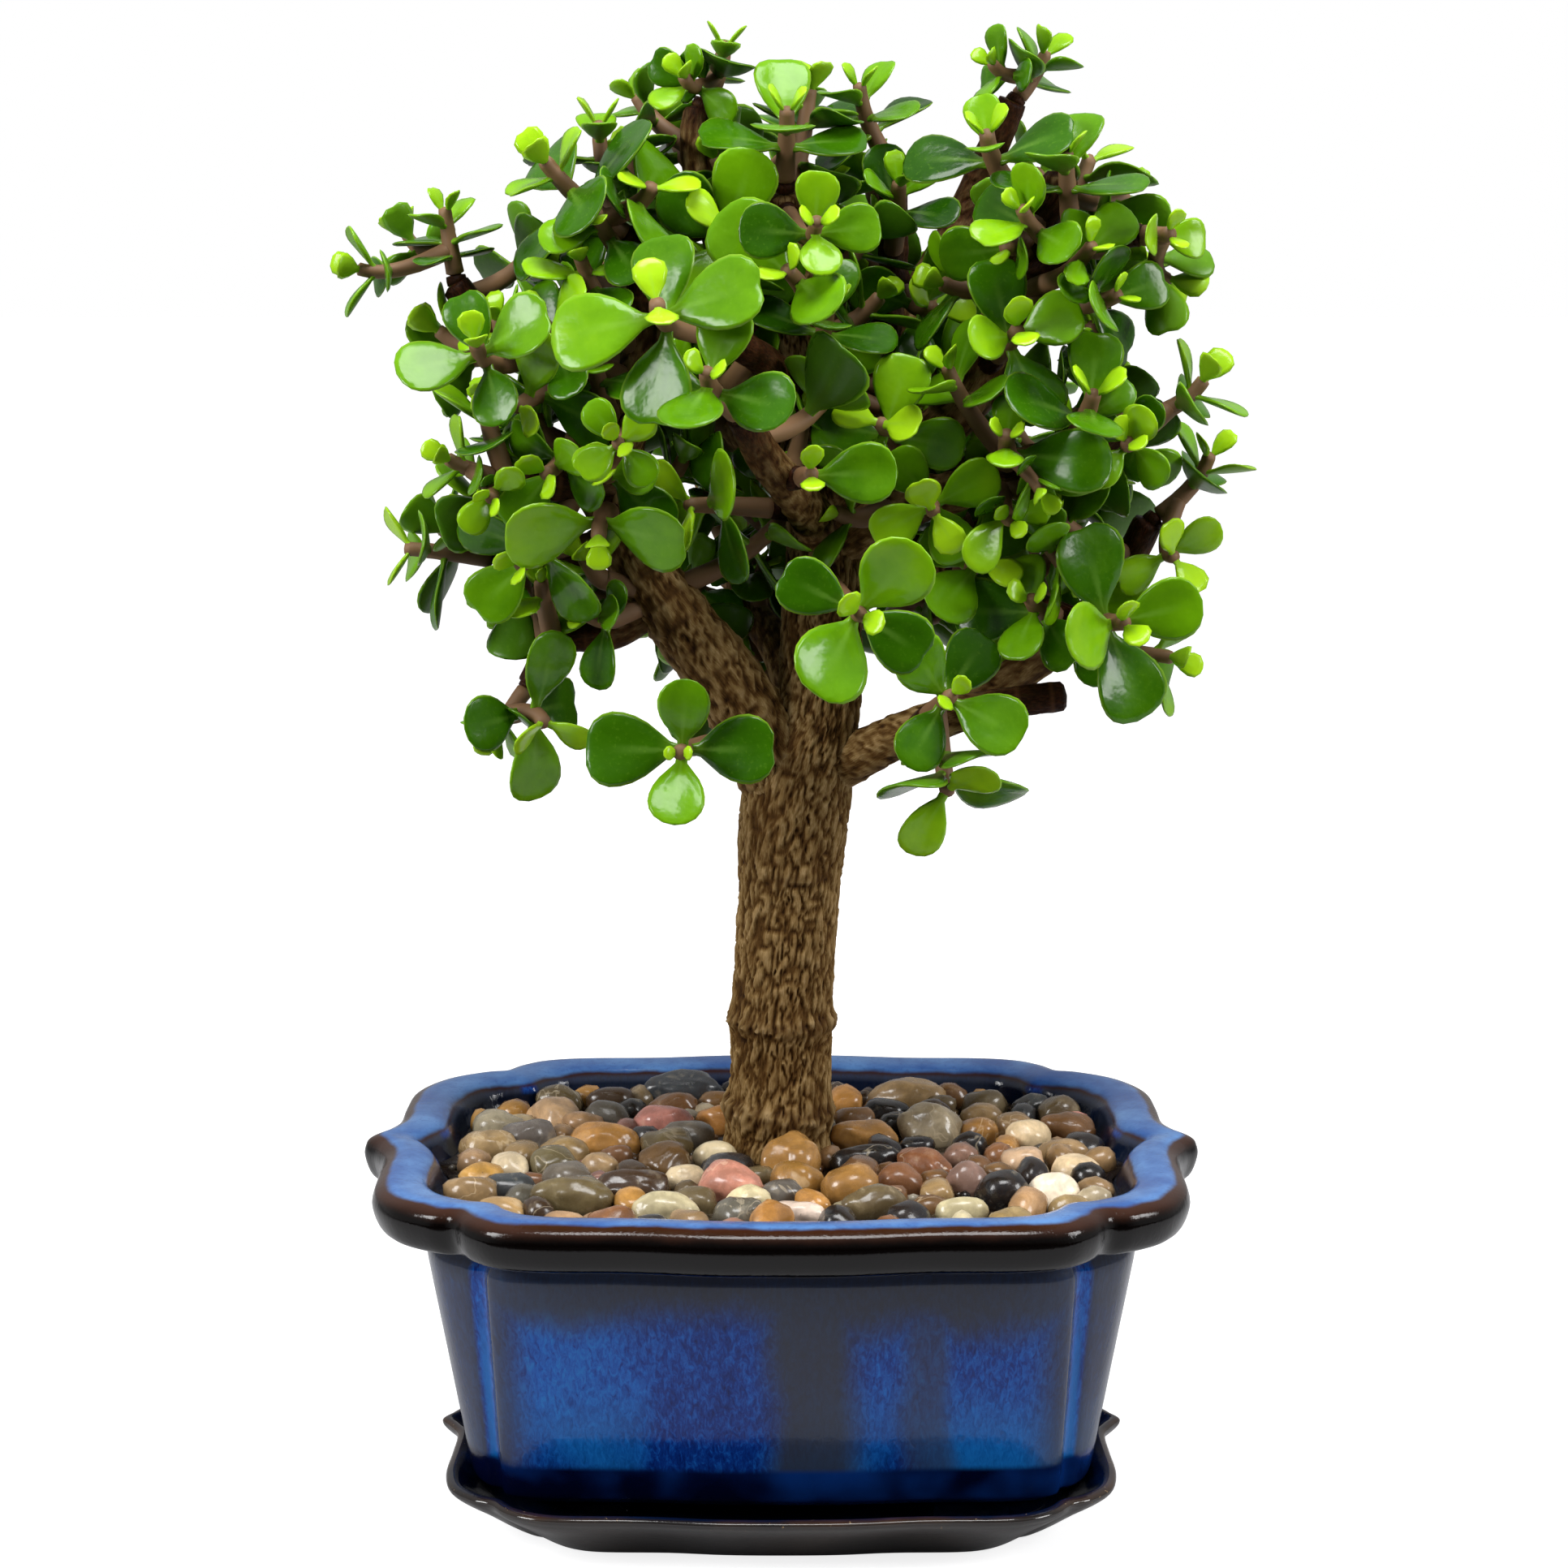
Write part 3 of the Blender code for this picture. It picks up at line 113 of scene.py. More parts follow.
limbPaths = {
    "left": [(1, 8, 126, 7), (-1.5, 7, 132, 7.4), (-8.4, 2, 146, 6.6), (-17, -2, 158, 6.1),
             (-24.7, -4, 169, 5.4), (-28.9, -5, 177.5, 4.8), (-28.1, -6, 187.5, 4.2), (-26.1, -8, 197, 3.6)],
    "leftOuter": [(-27, -7, 193, 3.4), (-34, -8, 202, 3.1), (-42.7, -6, 206, 2.8), (-51, -5, 211, 2.7),
                  (-56, -5, 217.5, 2.6)],
    "leftUp": [(-26.5, -7.5, 194, 3.3), (-25, -6, 204, 3.2), (-24, -5, 215, 2.9), (-24.5, -4, 225, 2.7)],
    "crownLeft": [(4.6, 8, 199, 3.6), (-4.8, 10, 213.5, 3.2), (-12, 12, 228, 2.9), (-14.6, 13, 241, 3.4),
                  (-14.5, 13.5, 248, 2.9)],
    "front": [(7, 8, 172, 4.3), (6.8, 3, 175, 4.2), (3.1, -12, 181.5, 3.6), (-2.5, -26, 189.5, 3.2),
              (-6.5, -34, 197, 2.6)],
    "frontUp": [(4.9, 8, 196, 3.2), (3, 0, 199, 3.1), (-3.5, -16, 206, 2.8), (-11, -28, 210.5, 2.5)],
    "rightUp": [(7.5, 8, 172, 5), (16, 4, 185, 4.6), (25.3, 0, 191, 4.4), (32.2, -3, 198, 4.2),
                (37, -4, 208.5, 4.0), (40.7, -4, 218, 3.8), (42, -4, 226.5, 3.5), (40, -4, 234, 3.0)],
    "rightKnob": [(40.7, -4, 219, 3.0), (44.5, -5, 229, 2.9), (47.3, -6, 233, 2.9), (48, -6, 236, 3.2)],
    "rightArm": [(40, -4, 216, 2.9), (47, -8, 222.5, 2.6), (53, -10, 226, 2.4), (60, -12, 226.8, 2.2)],
    "backRight": [(6.3, 9, 182, 4.3), (12, 16, 192, 4.0), (19.6, 24, 203, 3.8), (24.9, 30, 214.5, 3.4),
                  (31.6, 32, 226.5, 3.1), (36.7, 32, 237.5, 2.9), (41.7, 30, 249.5, 2.7)],
    "backMid": [(18, 22.5, 201, 3.1), (20.3, 26, 220.5, 2.8), (20.2, 26, 238, 2.5)],
    "rightMid": [(8, 8, 170, 4.4), (21, 0, 180, 3.9), (30.8, -6, 182.5, 3.6), (39, -10, 186.5, 3.3),
                 (51.6, -10, 190, 3.0), (61.6, -8, 194.5, 2.6)],
    "rightFork": [(13, 5.5, 174, 3.4), (21.5, 7, 171.5, 3.2), (30, 6, 167.5, 3.6), (40, 0, 163.5, 2.9),
                  (51, -4, 159.5, 2.6)],
    "rightLow": [(3.5, 8, 129, 5.4), (11.3, 6, 132.5, 4.6), (21.3, 0, 138.5, 4.0), (31, -6, 143, 3.4),
                 (41, -8, 145.5, 2.8), (49, -8, 146.5, 2.7)],
    "rightBack": [(19, 2, 137.2, 3.6), (33, 7, 142.5, 3.5), (44, 9, 149, 3.4), (54, 8, 157.5, 3.1),
                  (61, 6, 167, 2.9), (65, 4, 175.5, 2.7)],
    "leftLow": [(-21, -3, 163.5, 3.2), (-29, -4, 157.6, 3.0), (-39, -6, 156, 2.6), (-44, -8, 149, 2.3)],
    "leftMid": [(-28, -5, 176, 2.9), (-37.7, -2, 170.5, 2.4), (-49.3, 0, 169.8, 2.2)],
    "leftHigh": [(-28.5, -6, 183, 3.2), (-37, -12, 183.7, 2.8), (-48, -14, 185.3, 2.6)],
    "backLow": [(5, 9, 139, 4.2), (0, 24, 150, 3.6), (-7, 37, 160, 3.1), (-10, 47, 171, 2.6)],
    "backLeft": [(6.8, 9, 180, 3.9), (-6, 22, 190, 3.4), (-20, 33, 202, 3.0), (-30, 37, 215, 2.6)],
    "backTop": [(4.6, 9, 200, 3.4), (5, 22, 212, 3.1), (6, 33, 224, 2.8), (4, 37, 237, 2.5)],
    "backRightLow": [(8, 10, 158, 3.9), (20, 26, 167, 3.3), (31, 37, 177, 2.8), (38, 42, 190, 2.5)],
}
limbs = list(limbPaths.values())

# Leafy sprays, each a list of twigs: (start on a limb, or how far along the first twig; tip; the way the
# tip looks; roll in degrees; leaf lengths in pairs from the tip down, negative where one leaf is missing).
sprayRows = [
    [((-4, 4, 138), (-17, -36, 141), (-0.05, -1, 0.1), 0, (3.5, 14, 17))],
    [((7, 6, 167), (13, -42, 165), (0.05, -1, 0.05), 35, (6.5, 17, 15))],
    [((-11, -28, 210.5), (-20, -46, 216), (0.05, -0.8, 0.6), -102, (8, 19, 16))],
    [((-6.5, -34, 197), (-12, -48, 205), (0, -0.85, 0.5), 10, (5.5, 14, 15.5))],
    [((51, -4, 159.5), (59, -20, 161), (0.25, -0.95, 0.1), -110, (6.5, 15.5, 17))],
    [((0.4, 7, 232), (6, -24, 229), (0.1, -0.85, 0.5), 0, (5, 10, 12))],
    [((-28.8, -5, 177.5), (-31, -24, 176), (0, -0.6, -0.7), -90, (6, 17.5))],
    [((-42.7, -6, 206), (-51, -28, 209), (-0.05, -0.75, 0.65), -110, (6, 15, 12))],
    [((-24.5, -4, 225), (-40, -14, 239), (-0.55, -0.4, 0.75), 20, (7, 9, 17, 17)),
     (0.12, (-22, -12, 235), (0.35, -0.45, 0.8), 40, (8, 16, 15))],
    [((40, -4, 234), (35, -12, 244), (-0.1, -0.6, 0.8), 165, (6, 9, 16, 16))],
    [((39, -10, 186.5), (38, -25, 193.5), (-0.1, -0.75, 0.65), 8, (4.5, 8, -17)),
     (0.45, (44, -24, 184), (0.3, -0.7, -0.6), 30, (5, 8, 7))],
    [((60, -12, 226.8), (66, -17, 227), (0.45, -0.85, 0.2), -90, (5, 9.5, 15)),
     (0.1, (67, -7, 219), (0.8, 0.1, -0.3), 20, (7, 11, 11))],
    [((23, -0.5, 139), (29, -25, 149), (0.1, -0.95, 0.25), -50, (5, 15, 14)),
     (0.25, (29, -16, 131), (0.05, -0.93, -0.35), -60, (13, 17, 15))],
    [((34.5, -3.5, 203), (40, -21, 211), (0.1, -0.9, 0.35), 80, (7, 12, 15))],
    [((3.2, 7.5, 213), (1, -20, 221), (-0.4, -0.75, 0.4), -55, (7, 17.5))],
    [((0, -19.5, 185.5), (5, -31, 187.5), (0.1, -0.97, 0.2), 90, (6, -15.5))],
    [((-26.1, -8, 196), (-27, -36, 193), (0, -0.95, 0.2), 50, (4.5, 8.5, 8))],
    [((-14.5, 13.5, 248), (-10, 14, 260), (0.1, -0.15, 1), 0, (5.5, 7, 13, 16)),
     (0.15, (-17, 4, 254), (-0.3, -0.55, 0.8), 30, (5, 8, 10, 9))],
    [((0.4, 6, 234), (1, -2, 248), (0, -0.5, 0.85), 0, (6, 15, 15))],
    [((41.7, 30, 249.5), (48, 30, 259), (0.35, -0.2, 0.9), 30, (6, 9, 11, 10)),
     (0.5, (38, 25, 257), (-0.5, -0.4, 0.75), 0, (4.5, 8, 8.5))],
    [((-56, -5, 217.5), (-58, -6, 231), (-0.1, -0.1, 1), 30, (5, 8.5, 10, 9)),
     (0.2, (-73, -8, 221), (-0.9, -0.3, 0.3), 0, (6, 9, 9.5)),
     (0.32, (-66, 5, 227), (-0.4, 0.3, 0.8), 40, (5.5, 8, 8))],
    [((61.6, -8, 194.5), (73, -10, 202), (0.5, -0.3, 0.85), 0, (7, 10, 12)),
     (0.1, (59, -20, 192), (0.1, -0.8, 0.5), 40, (6, 9, 9.5, 9))],
    [((65, 4, 175.5), (76, 4, 188), (0.2, -0.4, 0.9), 0, (6, 10, 13)),
     (0.1, (69, -6, 171), (0.5, -0.8, 0.2), 60, (8, 10))],
    [((42, -4, 226), (54, 4, 240), (0.3, 0.0, 0.95), 70, (9, 14, 12))],
    [((20.2, 26, 238), (14, 20, 253), (-0.1, -0.35, 0.95), 10, (5.5, 10.5, 12.5, 12))],
    [((-48, -14, 185.3), (-57, -18, 189), (-0.7, -0.5, 0.5), 10, (5.5, 8.5, 10, 10)),
     (0.12, (-49, -27, 183), (-0.2, -0.9, -0.2), 40, (5, 8, 8))],
    [((-44, -8, 149), (-50, -12, 140), (-0.4, -0.3, -0.85), 0, (5, 8, 9)),
     (0.55, (-41, -18, 143), (0.3, -0.6, -0.7), 0, (9, 15.5, 13))],
    [((-49.3, 0, 169.8), (-66, -2, 172), (-0.9, -0.25, 0.1), 70, (8, 12.5, 13))],
    [((-36, -7.8, 203), (-45, -21, 198), (-0.4, -0.8, -0.2), 20, (8, 15, 15))],
    [((4.8, -6, 179), (-16, -17, 181), (-0.75, -0.6, 0.05), 60, (9, 15.5, 14))],
    [((-24.5, -5, 213), (-38, 2, 222), (-0.75, -0.15, 0.5), 30, (9, 14, 15))],
    [((-24.2, -5, 216.5), (-32, 7, 246), (0, -0.2, 1), 0, (6, 10, 13, 11))],
    [((-12, 12, 228), (-9, -9, 228), (0.1, -0.7, 0.5), 20, (9, 16, 17))],
    [((20, 2.2, 187.6), (17, -17, 195), (-0.3, -0.85, 0.4), 15, (9, 13.5, 13))],
    [((26, -3, 181.2), (26, -20, 180), (0, -0.9, -0.3), 60, (8, 12, 12))],
    [((30, 6, 167.5), (35, -10, 171), (0.2, -0.8, 0.4), 40, (8, 13, 11))],
    [((47, 8.7, 151.6), (69, -5, 153), (0.8, -0.5, -0.1), 25, (6, 12, 12))],
    [((20.3, 26, 222), (27, 12, 214), (0.4, -0.7, 0.4), 20, (8, 13, 13))],
    [((-19, -2.7, 161), (-36, 10, 164), (-0.6, 0.4, 0.3), 20, (8, 12, 11))],
    [((-46, -5.5, 208), (-60, 5, 205), (-0.85, 0.2, 0.1), 40, (7, 12, 12))],
    [((40, 0, 163.5), (40, 14, 158), (0.1, 0.5, -0.8), 20, (7, 11, 11))],
    [((-10, 47, 171), (-13, 55, 180), (-0.1, 0.7, 0.75), 30, (7, 13, 16, 14)),
     (0.1, (2, 55, 168), (0.5, 0.7, 0.1), 0, (7, 14, 14))],
    [((-3, 30, 154.8), (-22, 36, 154), (-0.7, 0.5, 0.1), 20, (7, 13, 13))],
    [((-30, 37, 215), (-38, 42, 226), (-0.5, 0.3, 0.85), 10, (6, 12, 15, 14)),
     (0.1, (-44, 34, 212), (-0.9, 0.1, 0.2), 50, (7, 13, 12))],
    [((-16, 30, 198.5), (-22, 47, 196), (-0.2, 0.9, 0.1), 20, (7, 14, 15))],
    [((4, 37, 237), (2, 41, 249), (0, 0.3, 0.95), 0, (6, 12, 15, 14)),
     (0.1, (-5, 50, 238), (-0.3, 0.85, 0.3), 40, (6, 13, 14))],
    [((5.6, 30, 220.5), (17, 46, 222), (0.5, 0.8, 0.2), 20, (7, 14, 15))],
    [((38, 42, 190), (46, 46, 200), (0.4, 0.3, 0.85), 20, (6, 12, 15, 13)),
     (0.1, (50, 38, 186), (0.9, 0.1, 0.1), 0, (7, 12, 12))],
    [((23, 29, 169.5), (20, 46, 174), (-0.1, 0.95, 0.2), 10, (7, 14, 15))],
    [((35, 32.2, 234), (48, 36, 238), (0.7, 0.3, 0.6), 30, (7, 12, 13))],
]

# Pebbles listed one by one: (x, y, length, width, turn in degrees, tone). The rest follow by rule.
pebbleRows = [
    (-9, -21, 14, 10, -30, "pink"), (2, -6, 12, 9.5, 60, "ochre"), (-12, 1, 8.5, 6.5, -10, "cream"),
    (-49, -7, 9, 6.5, -50, "cream"), (-43, 27, 11.5, 9.5, -35, "peach"), (-22, 21, 12.5, 8, -5, "pink"),
    (-33, 11, 14, 8, -5, "ochre"), (-47, 11, 12, 8, 20, "grey"), (-33, 26, 10, 7.5, 0, "grey"),
    (-21, 6, 12, 8.5, 40, "olive"), (-40, 3, 10, 7.5, 15, "tan"), (-56, 6, 11, 7, 0, "tan"),
    (-26, -21, 14, 7.5, -12, "dark"), (-36, -29, 15, 8.5, -5, "olive"), (-48, -20, 10, 7, 5, "slate"),
    (-38, -15, 9, 7.5, 30, "grey"), (-33, -7, 8, 5.5, -15, "tan"), (-17, -14, 8, 6.5, 20, "cream"),
    (-20, -34, 12, 6.5, 0, "cream"), (-15, -27, 9, 6, -15, "olive"), (-57, 19, 10.5, 8, 0, "greige"),
    (-50, 17, 8.5, 6, 35, "white"), (-51, 30, 7.5, 7, 0, "ochre"), (-20, 45, 17, 8, 0, "slate"),
    (-21, 34, 11, 6.5, 5, "brown"), (-33, 38, 10.5, 6.5, -5, "dark"), (-43, 38, 9.5, 6.5, 0, "olive"),
    (-56, -3, 7.5, 7, 60, "tan"), (-30, 1, 6.5, 5, 0, "brown"), (3, -35, 11, 6, 0, "white"),
    (12, -21, 10.5, 8, -5, "ochre"), (16, -31, 13, 6.5, 28, "olive"), (21, -16, 9, 8, 0, "brown"),
    (15, -3, 14, 6.5, 5, "black"), (16, 12, 12, 8, 25, "ochre"), (25, 7, 7.5, 5, 0, "black"),
    (28, 18, 12.5, 9, -20, "greige"), (26, -6, 13, 6.5, -50, "rust"), (35, 9, 7.5, 5.5, 0, "black"),
    (33, 1, 7, 6, 0, "mauve"), (33, -17, 8, 7, 30, "mottled"), (39, -25, 10, 8, 0, "black"),
    (47.5, -25, 10, 8, 0, "white"), (44, -7, 8.5, 8, 0, "peach"), (53, -9, 10, 8, -20, "cream"),
    (59, -14, 7, 6.5, 0, "black"), (60, 8, 9, 7.5, 30, "black"), (46, 13, 9, 6.5, 10, "cream"),
    (52, 5, 10, 5, -5, "tan"), (40, 2, 6.5, 6, 60, "rust"), (39, -12, 6, 5, 0, "brown"),
    (37, 18, 8, 6.5, 0, "ochre"), (44, 22, 8, 6, 0, "tan"), (54, 19, 11, 7, -15, "brown"),
    (53, 30, 9, 7, 20, "olive"), (58, 26, 6, 5, 0, "pink"), (38, 28, 8.5, 6, 0, "tan"),
    (39, 36, 9.5, 7, 0, "olive"), (25, 43, 17, 8.5, -12, "tan"), (12, 38, 8, 7, 20, "ochre"),
    (20, 31, 10, 6.5, -10, "black"), (14, 26, 9, 6.5, 10, "brown"), (29, 28, 8, 6, 0, "dark"),
    (26, -30, 7.5, 5, 20, "brown"), (31, -34, 10, 5, 0, "cream"), (60, -2, 7, 5.5, 0, "tan"),
]


def fullOutline(quarter):
    loop = list(quarter)
    loop += [(x, -y) for x, y in reversed(quarter[:-1])]
    loop += [(-x, -y) for x, y in quarter[1:]]
    loop += [(-x, y) for x, y in reversed(quarter[1:-1])]
    return loop


def inset(outline, amount):
    # Scales the outline so that its ends and its sides all move in by the amount.
    halfLength = max(x for x, y in outline)
    halfDepth = max(y for x, y in outline)
    return [(x * (1 - amount / halfLength), y * (1 - amount / halfDepth)) for x, y in outline]


def blend(first, second, share):
    return [(a[0] + (b[0] - a[0]) * share, a[1] + (b[1] - a[1]) * share) for a, b in zip(first, second)]


rimOutline = fullOutline(rimQuarter)
bodyOutline = fullOutline(bodyQuarter)
footOutline = fullOutline(footQuarter)
lipOutline = fullOutline(lipQuarter)


def bodyAt(height):
    share = min(max((height - footLevel) / (bodyTopLevel - footLevel), 0), 1)
    return blend(footOutline, bodyOutline, share)


def innerAt(height):
    # The inside wall of the pot at a height, from the floor up to the rim's inner edge.
    if height <= bodyTopLevel:
        return inset(bodyAt(height), wallThickness)
    share = (height - bodyTopLevel) / (potRimProfile[-1][0] - bodyTopLevel)
    return blend(inset(bodyOutline, wallThickness), inset(rimOutline, potRimProfile[-1][1]), min(share, 1))


def insideOutline(outline, x, y):
    inside = False
    for a, b in zip(outline, outline[1:] + outline[:1]):
        if (a[1] > y) != (b[1] > y):
            if x < a[0] + (b[0] - a[0]) * (y - a[1]) / (b[1] - a[1]):
                inside = not inside
    return inside


# Camera, floor and light.
studio = {"lens": 77.96, "place": (0.0005, -0.600, 0.2306), "pitch": 80.44, "floorSize": 14.0,
          "floorTone": (0.50, 0.50, 0.51), "floorGlow": 0.80, "front": 0.012, "sides": 0.40, "top": 0.50,
          "lights": [((-0.55, -0.34, 0.42), 0.25, 3.8), ((0.62, -0.24, 0.40), 0.25, 3.0),
                     ((0.04, -0.20, 0.85), 0.40, 7.0)]}


class Wire:
    # One socket of a material; sums written on it add Math nodes.
    def __init__(self, paint, socket):
        self.paint = paint
        self.socket = socket

    def maths(self, operation, *others):
        return self.paint.node("ShaderNodeMath", {"operation": operation}, [self, *others])

    def __add__(self, other):
        return self.maths("ADD", other)

    def __sub__(self, other):
        return self.maths("SUBTRACT", other)

    def __rsub__(self, other):
        return self.paint.node("ShaderNodeMath", {"operation": "SUBTRACT"}, [other, self])

    def __mul__(self, other):
        return self.maths("MULTIPLY", other)

    def band(self, low, high, least=0.0, most=1.0):
        # The least below low, the most above high, smooth between; low above high turns it round.
        return self.paint.node("ShaderNodeMapRange", {"interpolation_type": "SMOOTHSTEP"}, {
            "Value": self, "From Min": low, "From Max": high, "To Min": least, "To Max": most})


class Paint:
    # The nodes of a material, or of the world, and the shader that they feed.
    def __init__(self, name, looks=None, world=False):
        self.owner = bpy.data.worlds.new(name) if world else bpy.data.materials.new(name)
        self.owner.use_nodes = True
        self.tree = self.owner.node_tree
        self.shader = self.tree.nodes["Background" if world else "Principled BSDF"]
        self.dress(looks or {})

    def join(self, socket, value):
        if isinstance(value, Wire):
            self.tree.links.new(value.socket, socket)
        elif socket.type == "RGBA" and len(value) == 3:
            socket.default_value = (*value, 1.0)
        else:
            socket.default_value = value

    def node(self, kind, settings=None, values=None, output=0):
        made = self.tree.nodes.new(kind)
        for key, value in (settings or {}).items():
            if key == "stops":
                ramp = made.color_ramp
                ramp.elements[0].position, ramp.elements[-1].position = value[0][0], value[-1][0]
                ramp.elements[0].color, ramp.elements[-1].color = (*value[0][1], 1), (*value[-1][1], 1)
                for place, colour in value[1:-1]:
                    ramp.elements.new(place).color = (*colour, 1)
            else:
                setattr(made, key, value)
        pairs = values.items() if isinstance(values, dict) else enumerate(values or [])
        for key, value in pairs:
            self.join(made.inputs[key], value)
        return Wire(self, made.outputs[output])

    def dress(self, looks):
        for name, value in looks.items():
            self.join(self.shader.inputs[name], value)

    def here(self):
        return self.node("ShaderNodeTexCoord", output="Object")

    def kept(self, name, output="Vector"):
        # A pattern or a value stored on the mesh.
        return self.node("ShaderNodeAttribute", {"attribute_name": name}, output=output)

    def parts(self, vector):
        made = self.tree.nodes.new("ShaderNodeSeparateXYZ")
        self.join(made.inputs[0], vector)
        return [Wire(self, out) for out in made.outputs]

    def cloud(self, where, scale, detail=3.0, rough=0.5, warp=0.0):
        # Soft noise; three numbers for the scale stretch it.
        if isinstance(scale, tuple):
            where = self.node("ShaderNodeMapping", None, {"Vector": where, "Scale": scale})
            scale = 1.0
        return self.node("ShaderNodeTexNoise", None, {"Vector": where, "Scale": scale, "Detail": detail,
                                                      "Roughness": rough, "Distortion": warp})

    def mixed(self, colour, *coats):
        # Lays coats of (share, tone) over a colour, one after another.
        for share, tone in coats:
            colour = self.node("ShaderNodeMix", {"data_type": "RGBA"}, {0: share, 6: colour, 7: tone}, 2)
        return colour

    def ramp(self, share, stops):
        return self.node("ShaderNodeValToRGB", {"stops": stops}, [share])

    def bump(self, height, strength, depth):
        settings = {"Height": height, "Strength": strength, "Distance": depth}
        self.dress({"Normal": self.node("ShaderNodeBump", None, settings)})


def makeCamera():
    data = bpy.data.cameras.new("camera")
    data.lens, data.sensor_width = studio["lens"], 36.0
    camera = bpy.data.objects.new("camera", data)
    camera.location = studio["place"]
    camera.rotation_euler = (math.radians(studio["pitch"]), 0, 0)
    bpy.context.scene.collection.objects.link(camera)
    bpy.context.scene.camera = camera


def makeLights():
    for number, (place, size, power) in enumerate(studio["lights"]):
        data = bpy.data.lights.new("softbox_%d" % number, "AREA")
        data.shape, data.size, data.energy = "SQUARE", size, power
        lamp = bpy.data.objects.new("softbox_%d" % number, data)
        lamp.location = place
        lamp.rotation_euler = (Vector(place) - Vector((0, 0, 0.13))).to_track_quat("Z", "Y").to_euler()
        bpy.context.scene.collection.objects.link(lamp)


def makeRoom():
    # The camera sees plain white; the object sees a room that is darker in front and brighter above.
    room = Paint("studio", world=True)
    _, y, z = room.parts(room.node("ShaderNodeTexCoord", output="Generated"))
    glow = y.band(-0.95, -0.25, studio["front"], studio["sides"])
    above = room.node("ShaderNodeMapRange", None, {"Value": z, "From Min": 0.1, "From Max": 0.9})
    glow = room.node("ShaderNodeMix", None, {0: above, 2: glow, 3: studio["top"]})
    seen = room.node("ShaderNodeLightPath")
    shown = room.node("ShaderNodeMix", None, {0: seen, 2: glow, 3: 1.0})
    room.dress({"Color": (1, 1, 1), "Strength": shown})
    bpy.context.scene.world = room.owner


def makeFloor():
    mesh = bmesh.new()
    bmesh.ops.create_grid(mesh, x_segments=1, y_segments=1, size=studio["floorSize"] / 2)
    paint = Paint("floor", {"Roughness": 0.8, "Specular IOR Level": 0.1})
    # Darker well in front of the pot, where the rim's mirror image of it falls.
    far = paint.parts(paint.here())[1].band(-0.15, -0.24)
    paint.dress({"Base Color": paint.mixed(studio["floorTone"], (far, (0.02, 0.02, 0.02))),
                 "Emission Color": paint.mixed((1, 1, 1), (far, (1.25, 1.25, 1.25))),
                 "Emission Strength": paint.node("ShaderNodeLightPath") * studio["floorGlow"]})
    floor = finished("floor", mesh, [paint.owner], ridden=False)


def finished(name, mesh, paints, stands=(), ridden=True):
    # Turns a bmesh into a finished piece of the object.
    bmesh.ops.remove_doubles(mesh, verts=mesh.verts, dist=2e-7)
    bmesh.ops.dissolve_degenerate(mesh, edges=mesh.edges, dist=1e-7)
    bmesh.ops.recalc_face_normals(mesh, faces=mesh.faces)
    for face in mesh.faces:
        face.smooth = True
    data = bpy.data.meshes.new(name)
    mesh.to_mesh(data)
    mesh.free()
    piece = bpy.data.objects.new(name, data)
    bpy.context.scene.collection.objects.link(piece)
    for paint in paints:
        data.materials.append(paint)
    if ridden:
        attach(piece, "root")
        if stands:
            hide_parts(*stands)
    return piece


def wrapRings(mesh, rings, paint=0, marks=None):
    # Wraps a grid into a tube, one row of the grid for each ring; equal points merge in the end.
    # marks: {layer: rows of values, one for each point}.
    count = len(rings[0])
    before = len(mesh.faces)
    made = bmesh.ops.create_grid(mesh, x_segments=count, y_segments=len(rings) - 1, size=1.0)["verts"]
    for r, ring in enumerate(rings):
        for k in range(count + 1):
            made[r * (count + 1) + k].co = ring[k % count]
    for layer, rows in (marks or {}).items():
        for r, row in enumerate(rows):
            for k in range(count + 1):
                made[r * (count + 1) + k][layer] = row[k % count]
    if paint:
        mesh.faces.ensure_lookup_table()
        for face in mesh.faces[before:]:
            face.material_index = paint
    return made


def smoothLine(rows, steps, closed=False):
    # A smooth line through rows of numbers, steps points for each stretch.
    count = len(rows)
    line = []
    for i in range(count if closed else count - 1):
        if closed:
            p = [rows[(i + j) % count] for j in (-1, 0, 1, 2)]
        else:
            p = [rows[min(max(i + j, 0), count - 1)] for j in (-1, 0, 1, 2)]
        for s in range(steps):
            t = s / steps
            line.append(tuple(0.5 * (2 * b + (c - a) * t + (2 * a - 5 * b + 4 * c - d) * t * t
                                     + (3 * b - a - 3 * c + d) * t ** 3) for a, b, c, d in zip(*p)))
    if not closed:
        line.append(tuple(float(v) for v in rows[-1]))
    return line


def evenLine(rows, step):
    # The same line with points an even step apart.
    dense = smoothLine(rows, 14)
    line = [dense[0]]
    carried = 0.0
    for a, b in zip(dense, dense[1:]):
        run = math.dist(a[:3], b[:3])
        while run > 0 and carried + run >= step:
            share = (step - carried) / run
            a = tuple(u + (v - u) * share for u, v in zip(a, b))
            line.append(a)
            run = math.dist(a[:3], b[:3])
            carried = 0.0
        carried += run
    line.append(dense[-1])
    return line


def tubeRings(path, sides, leaving=None):
    # path: (point, radius) in millimetres; the ring frame is carried along without twisting.
    points = [p for p, r in path]
    heading = leaving or (points[1] - points[0]).normalized()
    across = heading.cross(Vector((0, 0, 1)))
    across = (across if across.length > 0.3 else heading.cross(Vector((0, 1, 0)))).normalized()
    rings = []
    for i, (point, radius) in enumerate(path):
        before = points[max(i - 1, 0)]
        after = points[min(i + 1, len(points) - 1)]
        ahead = leaving if leaving and i == 0 else (after - before).normalized()
        across = (across - ahead * across.dot(ahead)).normalized()
        other = ahead.cross(across)
        rings.append([(point + (across * math.cos(a) + other * math.sin(a)) * radius) * mm
                      for a in (math.tau * k / sides for k in range(sides))])
    return rings


